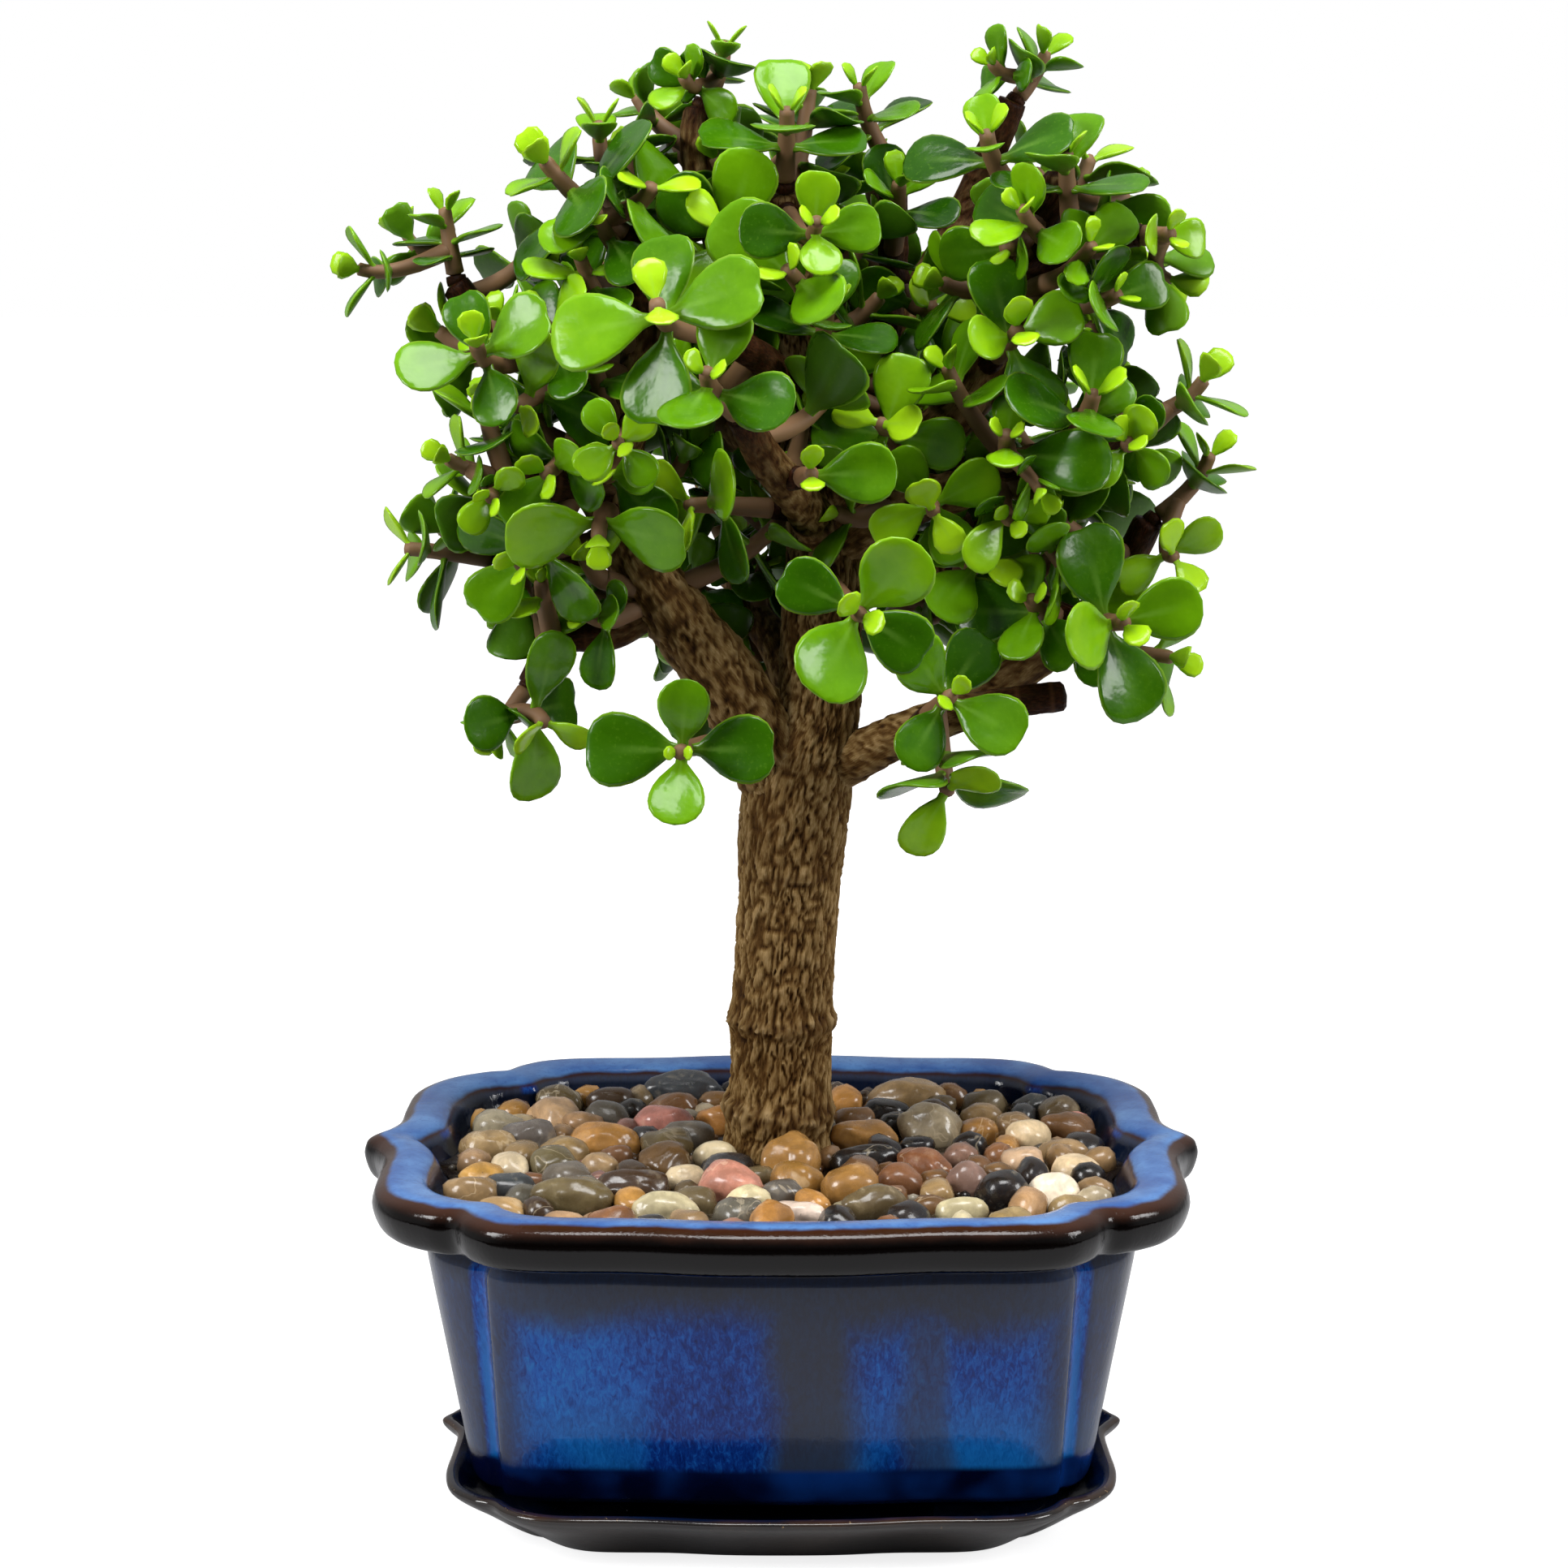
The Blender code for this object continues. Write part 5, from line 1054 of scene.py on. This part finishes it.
def makePebbles(stones):
    mesh = bmesh.new()
    layers = [mesh.verts.layers.float_vector.new("tone"), mesh.verts.layers.float_vector.new("stone")]
    chance = random.Random(seeds["stoneLooks"])
    # The dark bed, a ring round the trunk whose top is uneven.
    hole = [(trunkAt[0] + 10.9 * math.cos(a), trunkAt[1] + 10.9 * math.sin(a))
            for a in (math.atan2(y - trunkAt[1], x - trunkAt[0]) for x, y in rimOutline)]
    lowEdge, topEdge = inset(innerAt(soilTop + gap), soilInset), inset(innerAt(bedTop), soilInset)
    rings = []
    plan = [(blend(topEdge, hole, s / 7), bedTop, 0.9 if 0 < s < 7 else 0) for s in range(8)]
    ends = [(hole, soilTop + gap, 0), (lowEdge, soilTop + gap, 0)]
    for outline, height, rough in ends[1:] + plan + ends:
        rings.append([Vector((x, y, height - rough * (0.5 + noise.noise(Vector((x, y, 0)) * 0.4)))) * mm
                      for x, y in smoothLine(outline, 3, True)])
    for vert in wrapRings(mesh, rings):
        vert[layers[0]] = (0.016, 0.010, 0.006)
    for stone in stones:
        big = stone["size"].x > 3.9
        base = stoneTones[stone["tone"]]
        lift = chance.uniform(0.95, 1.45)
        tone = [v * lift * chance.uniform(0.93, 1.07) for v in base]
        lobes = 0.16 if stone["size"].x == 6 and stone["tone"] == "ochre" else chance.uniform(0, 0.05)
        size = Vector((stone["size"].x * 0.95, stone["size"].y * 0.94, stone["size"].z * 1.22))
        addStone(mesh, layers, stone["at"] + Vector((0, 0, 0.7)), size, stone["turn"], stone["tilt"], tone,
                 chance.uniform(0, 40), lobes, 4 if stone["size"].x > 5.4 else 3 if big else 2,
                 (chance.random(), chance.random(), chance.random()))
    for _ in range(pebbleLook["chips"]):
        x, y = chance.uniform(-64, 64), chance.uniform(-50, 50)
        size = chance.uniform(0.8, 1.9)
        name = chance.choice(list(stoneTones))
        if not ellipseFits(x, y, size * 2, size * 2, 0):
            continue
        if any(math.hypot(x - s["at"].x, y - s["at"].y) < s["size"].y * 0.92 for s in stones):
            continue
        tone = [v * 0.6 for v in stoneTones[name]]
        addStone(mesh, layers, Vector((x, y, bedTop + size * 0.1)), Vector((size, size * 0.8, size * 0.7)),
                 chance.uniform(0, 3), 0.0, tone, chance.uniform(0, 40), 0.05, 1, (chance.random(), 0, 0))
    finished("pebbleBed", mesh, [pebblePaint()], ["pebbles"])


# Wood.
woodLook = {"trunkSides": 168, "trunkStep": 0.85, "limbSides": 30, "thickSides": 56, "limbStep": 0.95,
            "ridge": 0.50, "wide": 1.45, "tall": 0.17, "fresh": (0.046, 0.014, 0.0045),
            "rings": ((67.5, 2.6), (84.5, 1.9)), "scar": 112.5}


def barkPaint():
    look = woodLook
    paint = Paint("bark", {"Specular IOR Level": 0.07})
    age, raised, knot = paint.parts(paint.kept("wood"))
    grain = paint.kept("grain")
    thin = paint.cloud(grain, (4.2, 4.2, 0.8), 3.0, 0.6, 0.4)
    patch = paint.cloud(grain, (0.16, 0.16, 0.07), 3.0, 0.6)
    height = raised * 0.36 + thin * 0.55 + 0.19
    old = paint.ramp(height, [(0.14, (0.020, 0.007, 0.001)), (0.38, (0.100, 0.048, 0.012)),
                              (0.58, (0.230, 0.140, 0.050)), (0.88, (0.460, 0.320, 0.150))])
    old = paint.mixed(old, (patch.band(0.45, 0.75) * 0.35, (0.10, 0.045, 0.010)),
                      (knot.band(0.2, 1.0) * thin.band(0.35, 0.65) * 0.55, (0.035, 0.014, 0.006)))
    speck = paint.cloud(grain, (2.2, 2.2, 1.1), 3.0, 0.6)
    fresh = paint.mixed((0.016, 0.0045, 0.0015), (speck.band(0.40, 0.68), look["fresh"]),
                        (knot.band(0.3, 0.9) * 0.5, (0.12, 0.050, 0.020)),
                        (age.band(0.14, 0.0) * 0.75, (0.14, 0.16, 0.025)))
    colour = paint.mixed(fresh, (age.band(0.40, 0.80), old))
    paint.dress({"Base Color": colour, "Roughness": age.band(0.2, 0.8) * 0.35 + 0.36})
    paint.bump(height * age.band(0.1, 0.7) + speck * 0.12, 0.8, 0.0006)
    return paint.owner


def relief(angle, radius, along, seed):
    # Ridges drawn out along the wood that part and meet again like a net, from about -1 to 1.
    look = woodLook
    x, y = math.cos(angle) * radius, math.sin(angle) * radius
    sway = noise.noise(Vector((x * 0.25, y * 0.25, along * 0.22 + seed))) * 1.3
    here = Vector((x / look["wide"] + sway, y / look["wide"] - sway, along * look["tall"] + seed))
    near = noise.voronoi(here)[0]
    crack = min((near[1] - near[0]) / 0.26, 1) ** 0.7
    return 1.4 * crack - 0.9 + 0.5 * noise.noise(here * 2.3)


def barkTube(mesh, layers, rows, sides, step, seed, ages=None, joints=(), steady=False, scar=None):
    # rows: (x, y, z, radius). Stores the grain and, in wood, the age, how far it stands out and the knots.
    # A scar is a knot on one side only: (how far along, width, the way it faces).
    line = evenLine(rows, step)
    rings, grains, woods = [], [], []
    bases = tubeRings([(vec(p), 1.0) for p in line], sides)
    travelled = 0.0
    for i, (p, base) in enumerate(zip(line, bases)):
        centre = vec(p)
        if i:
            travelled += math.dist(p[:3], line[i - 1][:3])
        radius = p[3]
        ringKnot = max([math.exp(-((travelled - at) / wide) ** 2) for at, wide in joints] or [0.0])
        scarred = math.exp(-((travelled - scar[0]) / scar[1]) ** 2) if scar else 0
        age = min(max((radius - 1.4) / 3.0, 0), 1)
        if ages:
            age = ages[0] + (ages[1] - ages[0]) * i / (len(line) - 1)
        tall = min(woodLook["ridge"], 0.028 + max(radius - 2, 0) * 0.10) * (0.15 if steady else 1)
        closing = i in (0, len(line) - 1)
        ring, grain, wood = [], [], []
        for k, unit in enumerate(base):
            out = unit / mm - centre
            angle = math.tau * k / sides
            knot = max(ringKnot, scarred * max(out.dot(scar[2]), 0) ** 5 if scarred > 0.01 else 0)
            raised = relief(angle, radius, travelled * (1 + knot * 0.02), seed)
            x, y = math.cos(angle), math.sin(angle)
            if knot > 0.05 and radius > 6:
                raised += knot * 1.3 * noise.noise(Vector((x * 6, y * 6, travelled * 0.9)))
            size = 0.0 if closing else radius * (1 + 0.035 * knot) + tall * (raised - 0.45)
            ring.append((centre + out * size) * mm)
            grain.append((x * radius + seed * 3, y * radius, travelled + seed * 7))
            wood.append((age, raised, knot))
        rings.append(ring)
        grains.append(grain)
        woods.append(wood)
    wrapRings(mesh, rings, layers[2], {layers[0]: grains, layers[1]: woods})


def makeWood(sprays):
    mesh = bmesh.new()
    vectors = mesh.verts.layers.float_vector
    layers = (vectors.new("grain"), vectors.new("wood"), 0)
    low = trunkPath[0][2]
    barkTube(mesh, layers, trunkPath, woodLook["trunkSides"], woodLook["trunkStep"], 1.3,
             joints=[(level - low, wide) for level, wide in woodLook["rings"]],
             scar=(woodLook["scar"] - low, 1.5, Vector((0.15, -0.99, 0))))
    chance = random.Random(seeds["wood"])
    for number, limb in enumerate(limbs):
        length = sum(math.dist(a[:3], b[:3]) for a, b in zip(limb, limb[1:]))
        nodesAt = []
        at = 6.0
        while at < length:
            nodesAt.append((at, 0.55))
            at += chance.uniform(3.5, 6.5)
        thick = max(row[3] for row in limb)
        sides, step = woodLook["limbSides"] if thick < 6 else woodLook["thickSides"], woodLook["limbStep"]
        barkTube(mesh, layers, roundEnd(limb), sides, step, 5.0 + number * 2.17, joints=nodesAt)
    for twigs in sprays:
        start, heading, reach = twigs[0]["stub"]
        radius = twigs[0]["radius"]
        rows = [(*(start + heading * reach * s), radius * w) for s, w in
                ((-0.05, 1.0), (0.3, 1.1), (0.7, 1.12), (0.93, 1.06), (1.0, 0.98), (1.03, 0.7))]
        barkTube(mesh, layers, rows, 12, 0.8, chance.uniform(0, 30), ages=(0.50, 0.36), steady=True)
    finished("trunkAndLimbs", mesh, [barkPaint()], ["trunk_and_branches"])


def roundEnd(rows):
    # A blunt, rounded end in place of a cut one.
    last, radius = vec(rows[-1]), rows[-1][3]
    ahead = (last - vec(rows[-2])).normalized()
    ends = ((0.25, 0.9), (0.42, 0.62), (0.5, 0.25))
    return list(rows) + [(*(last + ahead * radius * s), radius * w) for s, w in ends]


# Leaves and their twigs.
leafLook = {"thick": 0.30, "thickShare": 0.030, "youth": (0.98, 0.66, 0.40, 0.27, 0.18),
            "deep": (0.010, 0.050, 0.0004), "green": (0.034, 0.125, 0.0008), "fresh": (0.125, 0.310, 0.002),
            "tip": (0.330, 0.580, 0.008), "margin": (0.26, 0.46, 0.03)}
# Rings of a leaf blade: (how far along, share of its width, share of its thickness).
blade = [(0.0, 0.0, 0.75), (0.06, 0.06, 0.78), (0.14, 0.22, 0.80), (0.25, 0.46, 0.92), (0.37, 0.71, 1.0),
         (0.50, 0.89, 1.0), (0.62, 0.98, 0.95), (0.73, 1.0, 0.86), (0.83, 0.92, 0.74), (0.915, 0.74, 0.60),
         (0.972, 0.44, 0.45), (1.0, 0.0, 0.0)]


def leafPaint():
    look = leafLook
    paint = Paint("leafFlesh", {"Specular IOR Level": 0.24})
    edge, along, top = paint.parts(paint.kept("leafAt"))
    youth, _, shade = paint.parts(paint.kept("leafKind"))
    here = paint.here()
    blotch = paint.cloud(here, 190.0, 3.0, 0.55)
    fine = paint.cloud(here, 1400.0, 3.0, 0.6)
    # Painted shade: leaves farther back in the crown, and higher up, go darker.
    stage = youth + (blotch - 0.5) * 0.28 + (along - 0.5) * 0.10 - shade * 0.22
    colour = paint.ramp(stage, [(0.0, look["deep"]), (0.30, look["green"]), (0.62, look["fresh"]),
                                (1.0, look["tip"])])
    rib = edge.band(0.20, 0.02) * along.band(0.85, 0.3) * top.band(0.2, 0.8)
    under = top.band(-0.1, -0.8)
    colour = paint.mixed(colour, (along.band(0.30, 0.02) * 0.5, (0.17, 0.34, 0.015)),
                         (rib * 0.22, (0.22, 0.42, 0.06)), (edge.band(0.90, 1.0) * 0.55, look["margin"]),
                         (under * 0.35, (0.10, 0.23, 0.012)),
                         (fine.band(0.55, 0.75) * 0.12, (0.20, 0.40, 0.03)))
    paint.dress({"Base Color": colour, "Roughness": blotch * 0.12 + under * 0.14 + 0.13})
    paint.bump(blotch + fine * 0.05, 0.22, 0.0009)
    return paint.owner


def addLeaf(mesh, layers, site, scale, frame, kind, chance):
    # A fleshy blade: rings of an oval that swells and flattens from the stalk to the rounded end.
    length, width = site["length"] * scale, site["width"] * scale
    stalk = min(0.11 * length, site["twigRadius"] * 0.72)
    deep = leafLook["thick"] + leafLook["thickShare"] * length
    rows = blade if length > 8 else blade[:1] + blade[2:11:2] + blade[-1:]
    around = 12 if length > 9 else 8
    notch = chance.choice((0, 0, 0.02, 0.05)) * length
    lean = chance.uniform(-0.05, 0.05) * width
    wave = chance.uniform(0, 0.25)
    twist = chance.uniform(-0.12, 0.12)
    rings, marks, kinds = [], [], []
    for t, wide, thick in rows:
        half = max(wide * width / 2, stalk * (1 - t)) if 0 < t < 1 else (stalk if t == 0 else 0.0)
        high = (thick * deep if t > 0.1 else stalk * 0.75) if t < 1 else 0.0
        points, mark = [], []
        for k in range(around):
            a = math.tau * k / around
            c, s = math.cos(a), math.sin(a)
            x = half * c
            z = high * math.copysign(abs(s) ** 0.85, s)
            z += (twist * x * t + wave * c ** 2 * math.sin(t * 7 + site["azimuth"]) * 0.6 * t
                  - (0.12 * high * math.exp(-(x / (0.16 * width)) ** 2) if s > 0.2 else 0))
            y = t * length - notch * math.exp(-(x / (0.14 * width)) ** 2) * max(0, t - 0.7) / 0.3
            points.append(bendLeaf(x + lean * t, y, z, length, width, site))
            mark.append((1.0 if t > 0.99 else max(abs(c), (t - 0.9) * 10), t, s))
        rings.append([p * mm for p in placeLeaf(points, site, frame)])
        marks.append(mark)
        # kind holds the leaf's age, a random number and its painted shade.
        kinds.append([kind] * around)
    wrapRings(mesh, rings, 0, {layers[0]: marks, layers[1]: kinds})


def addTwig(mesh, layers, twig, kept, back, chance):
    # The twig's tube, thicker at each pair of leaves, greener towards its tip.
    dense = curveWalk(twig["ends"], 12)
    away = leavingWay(twig)
    rows = [(*(dense[0] - away * back), twig["radius"])]
    rows += [(*p, twigRadius(twig, i / 11)) for i, p in enumerate(dense)]
    spots = [back + twig["length"] * max(0.05, min(1, site["far"])) for site, _, _ in kept]
    joints = [(s, 0.6) for s in sorted({round(s, 2) for s in spots})]
    joints += [(back + twig["length"] * s, 0.4) for s in (0.2, 0.38, 0.56)]
    barkTube(mesh, layers, roundEnd(rows), 12, 0.85, chance.uniform(0, 30), ages=(0.34, 0.02), joints=joints,
             steady=True)


def dressSpray(mesh, layers, twigs, kept, chance, mood, back=0.9):
    for twig in twigs:
        own = [leaf for leaf in kept if leaf[0]["twig"] is twig]
        addTwig(mesh, layers[2], twig, own, back, chance)
        back = 0.4
    for site, scale, frame in kept:
        size = site["length"] * scale
        youth = leafLook["youth"][min(site["order"], 4)]
        youth -= 0.16 if size > 12 else 0
        youth += chance.uniform(-0.12, 0.12) + mood
        # Painted shade, stronger the farther back and the higher the leaf sits.
        behind = site["at"].y + 0.35 * (site["at"].z - 190)
        inner = min(max((8 + behind) / 60, 0), 1)
        addLeaf(mesh, layers, site, scale, frame, (min(max(youth, 0.02), 1), chance.random(), inner), chance)


def sprayLayers(mesh):
    # Each new layer makes the earlier ones stale, so they are fetched again by name.
    vectors, names = mesh.verts.layers.float_vector, ("leafAt", "leafKind", "grain", "wood")
    for name in names:
        vectors.new(name)
    leafAt, leafKind, grain, wood = [vectors[name] for name in names]
    return leafAt, leafKind, (grain, wood, 1)


# More young shoots of the same kind fill the crown between the modelled sprays.
fillLook = {"tries": 3600, "most": 150, "spacing": 7.2, "length": (10, 21)}


def planFill(taken, woodTree, twigTrees, placedTrees):
    chance = random.Random(seeds["shoots"])
    bearing = [trunkPath[13:]] + limbs
    found = []
    for _ in range(fillLook["tries"]):
        limb = chance.choice(bearing)
        i = chance.randrange(len(limb) - 1)
        share = chance.random()
        row = [a + (b - a) * share for a, b in zip(limb[i], limb[i + 1])]
        start, radius = vec(row), row[3]
        outward = Vector((start.x - 3, (start.y - 8) * 1.2, 0))
        outward = outward.normalized() if outward.length > 1 else Vector((0, 1, 0))
        way = outward * chance.uniform(0.1, 1.0) + Vector((chance.gauss(0, 0.7), chance.gauss(0, 0.7),
                                                            chance.gauss(0.35, 0.6)))
        way.normalize()
        tip = start + way * (radius + chance.uniform(*fillLook["length"]))
        inCrown = ((tip.x - 3) / 72) ** 2 + ((tip.y - 4) / 54) ** 2 + ((tip.z - 198) / 62) ** 2 < 1
        tooFront = tip.y <= (-26 if abs(tip.x - 4) > 26 else -16)
        hidesTrunk = tip.z < 176 and tip.y < 16 and -34 < tip.x < 34
        if radius > 6.6 or not inCrown or tooFront or hidesTrunk:
            continue
        if any((tip - other).length < fillLook["spacing"] for other in taken):
            continue
        sizes = (chance.uniform(4.5, 7.2), chance.uniform(9, 13), chance.uniform(11.5, 16.5))
        look = way + Vector((0, -0.25, 0.5))
        twigs = planTwigs([[(tuple(start), tuple(tip), tuple(look), chance.uniform(0, 90), sizes)]])[0]
        box, tree = guardTree(twigs)
        if clashes(box, tree, twigTrees + placedTrees) or woodTree.overlap(tree):
            continue
        taken.append(tip)
        twigTrees.append((box, tree))
        found.append(twigs)
        if len(found) >= fillLook["most"]:
            break
    return found


def markSites(sprays, leaves):
    # Notes on each leaf which twig it grows from and how far along.
    for twigs, kept in zip(sprays, leaves):
        for site, _, _ in kept:
            best = min(((curvePoint(twig["ends"], s / 40) - site["at"]).length, n, s / 40)
                       for n, twig in enumerate(twigs) for s in range(41))
            site["twig"] = twigs[best[1]]
            site["far"] = best[2]


def makeFoliage():
    sprays = planTwigs(sprayRows)
    makeWood(sprays)
    print("wood done")
    bark = bpy.data.materials["bark"]
    leaf = leafPaint()
    wood = nodes["trunk_and_branches"].data
    woodTree = BVHTree.FromPolygons([vert.co / mm for vert in wood.vertices],
                                    [list(face.vertices) for face in wood.polygons])
    twigTrees = [guardTree(twigs) for twigs in sprays]
    placedTrees = []
    leaves = growLeaves(sprays, random.Random(seeds["leaves"]), woodTree, twigTrees, placedTrees)
    markSites(sprays, leaves)
    total = 0
    chance = random.Random(seeds["moods"])
    for number, (twigs, kept) in enumerate(zip(sprays, leaves), 1):
        mesh = bmesh.new()
        layers = sprayLayers(mesh)
        dressSpray(mesh, layers, twigs, kept, chance, chance.uniform(-0.06, 0.10))
        finished("leafySpray%02d" % number, mesh, [leaf, bark], ["spray_%02d" % number])
        total += len(kept)
    print("leaves on the sprays", total)
    taken = [twig["ends"][3] for twigs in sprays for twig in twigs]
    fill = planFill(taken, woodTree, twigTrees, placedTrees)
    chanceMore = random.Random(seeds["shootLeaves"])
    more = growLeaves(fill, chanceMore, woodTree, twigTrees, placedTrees, len(sprays))
    markSites(fill, more)
    mesh = bmesh.new()
    layers = sprayLayers(mesh)
    shown = 0
    for twigs, kept in zip(fill, more):
        if len(kept) < 3:
            continue
        start, heading, reach = twigs[0]["stub"]
        dressSpray(mesh, layers, twigs, kept, chance, chance.uniform(-0.12, 0.02), reach + gap + 0.5)
        shown += len(kept)
    finished("innerShoots", mesh, [leaf, bark])
    print("shoots", len(fill), "with leaves", shown)


def plainPaints():
    # Finishes for the two kinds of solid that stay as they are.
    paint = Paint("pottingSoil", {"Roughness": 0.95})
    crumbs = paint.cloud(paint.here(), 700.0, 4.0, 0.7)
    flecks = paint.node("ShaderNodeTexVoronoi", None, {"Vector": paint.here(), "Scale": 420.0})
    colour = paint.ramp(crumbs, [(0.30, (0.008, 0.005, 0.003)), (0.55, (0.030, 0.018, 0.010)),
                                 (0.78, (0.085, 0.055, 0.032))])
    paint.dress({"Base Color": paint.mixed(colour, (flecks.band(0.16, 0.06) * 0.5, (0.40, 0.38, 0.34)))})
    paint.bump(crumbs, 0.8, 0.0015)
    screen = Paint("drainScreen")
    dust = screen.cloud(screen.here(), 300.0, 3.0, 0.6)
    dusty = screen.mixed((0.012, 0.012, 0.013), (dust.band(0.45, 0.75), (0.06, 0.045, 0.03)))
    screen.dress({"Base Color": dusty, "Roughness": dust * 0.3 + 0.35})
    for name, made in (("soil", paint), ("drain_screen_left", screen), ("drain_screen_right", screen)):
        data = nodes[name].data
        data.materials.clear()
        data.materials.append(made.owner)


bpy.context.scene.view_settings.view_transform = "Standard"
makeCamera()
makeLights()
makeRoom()
makeFloor()
plainPaints()
print("studio done")
makeSaucer()
makePot()
print("pot and saucer done")
stones = layPebbles()
makePebbles(stones)
print("pebbles", len(stones))
makeFoliage()
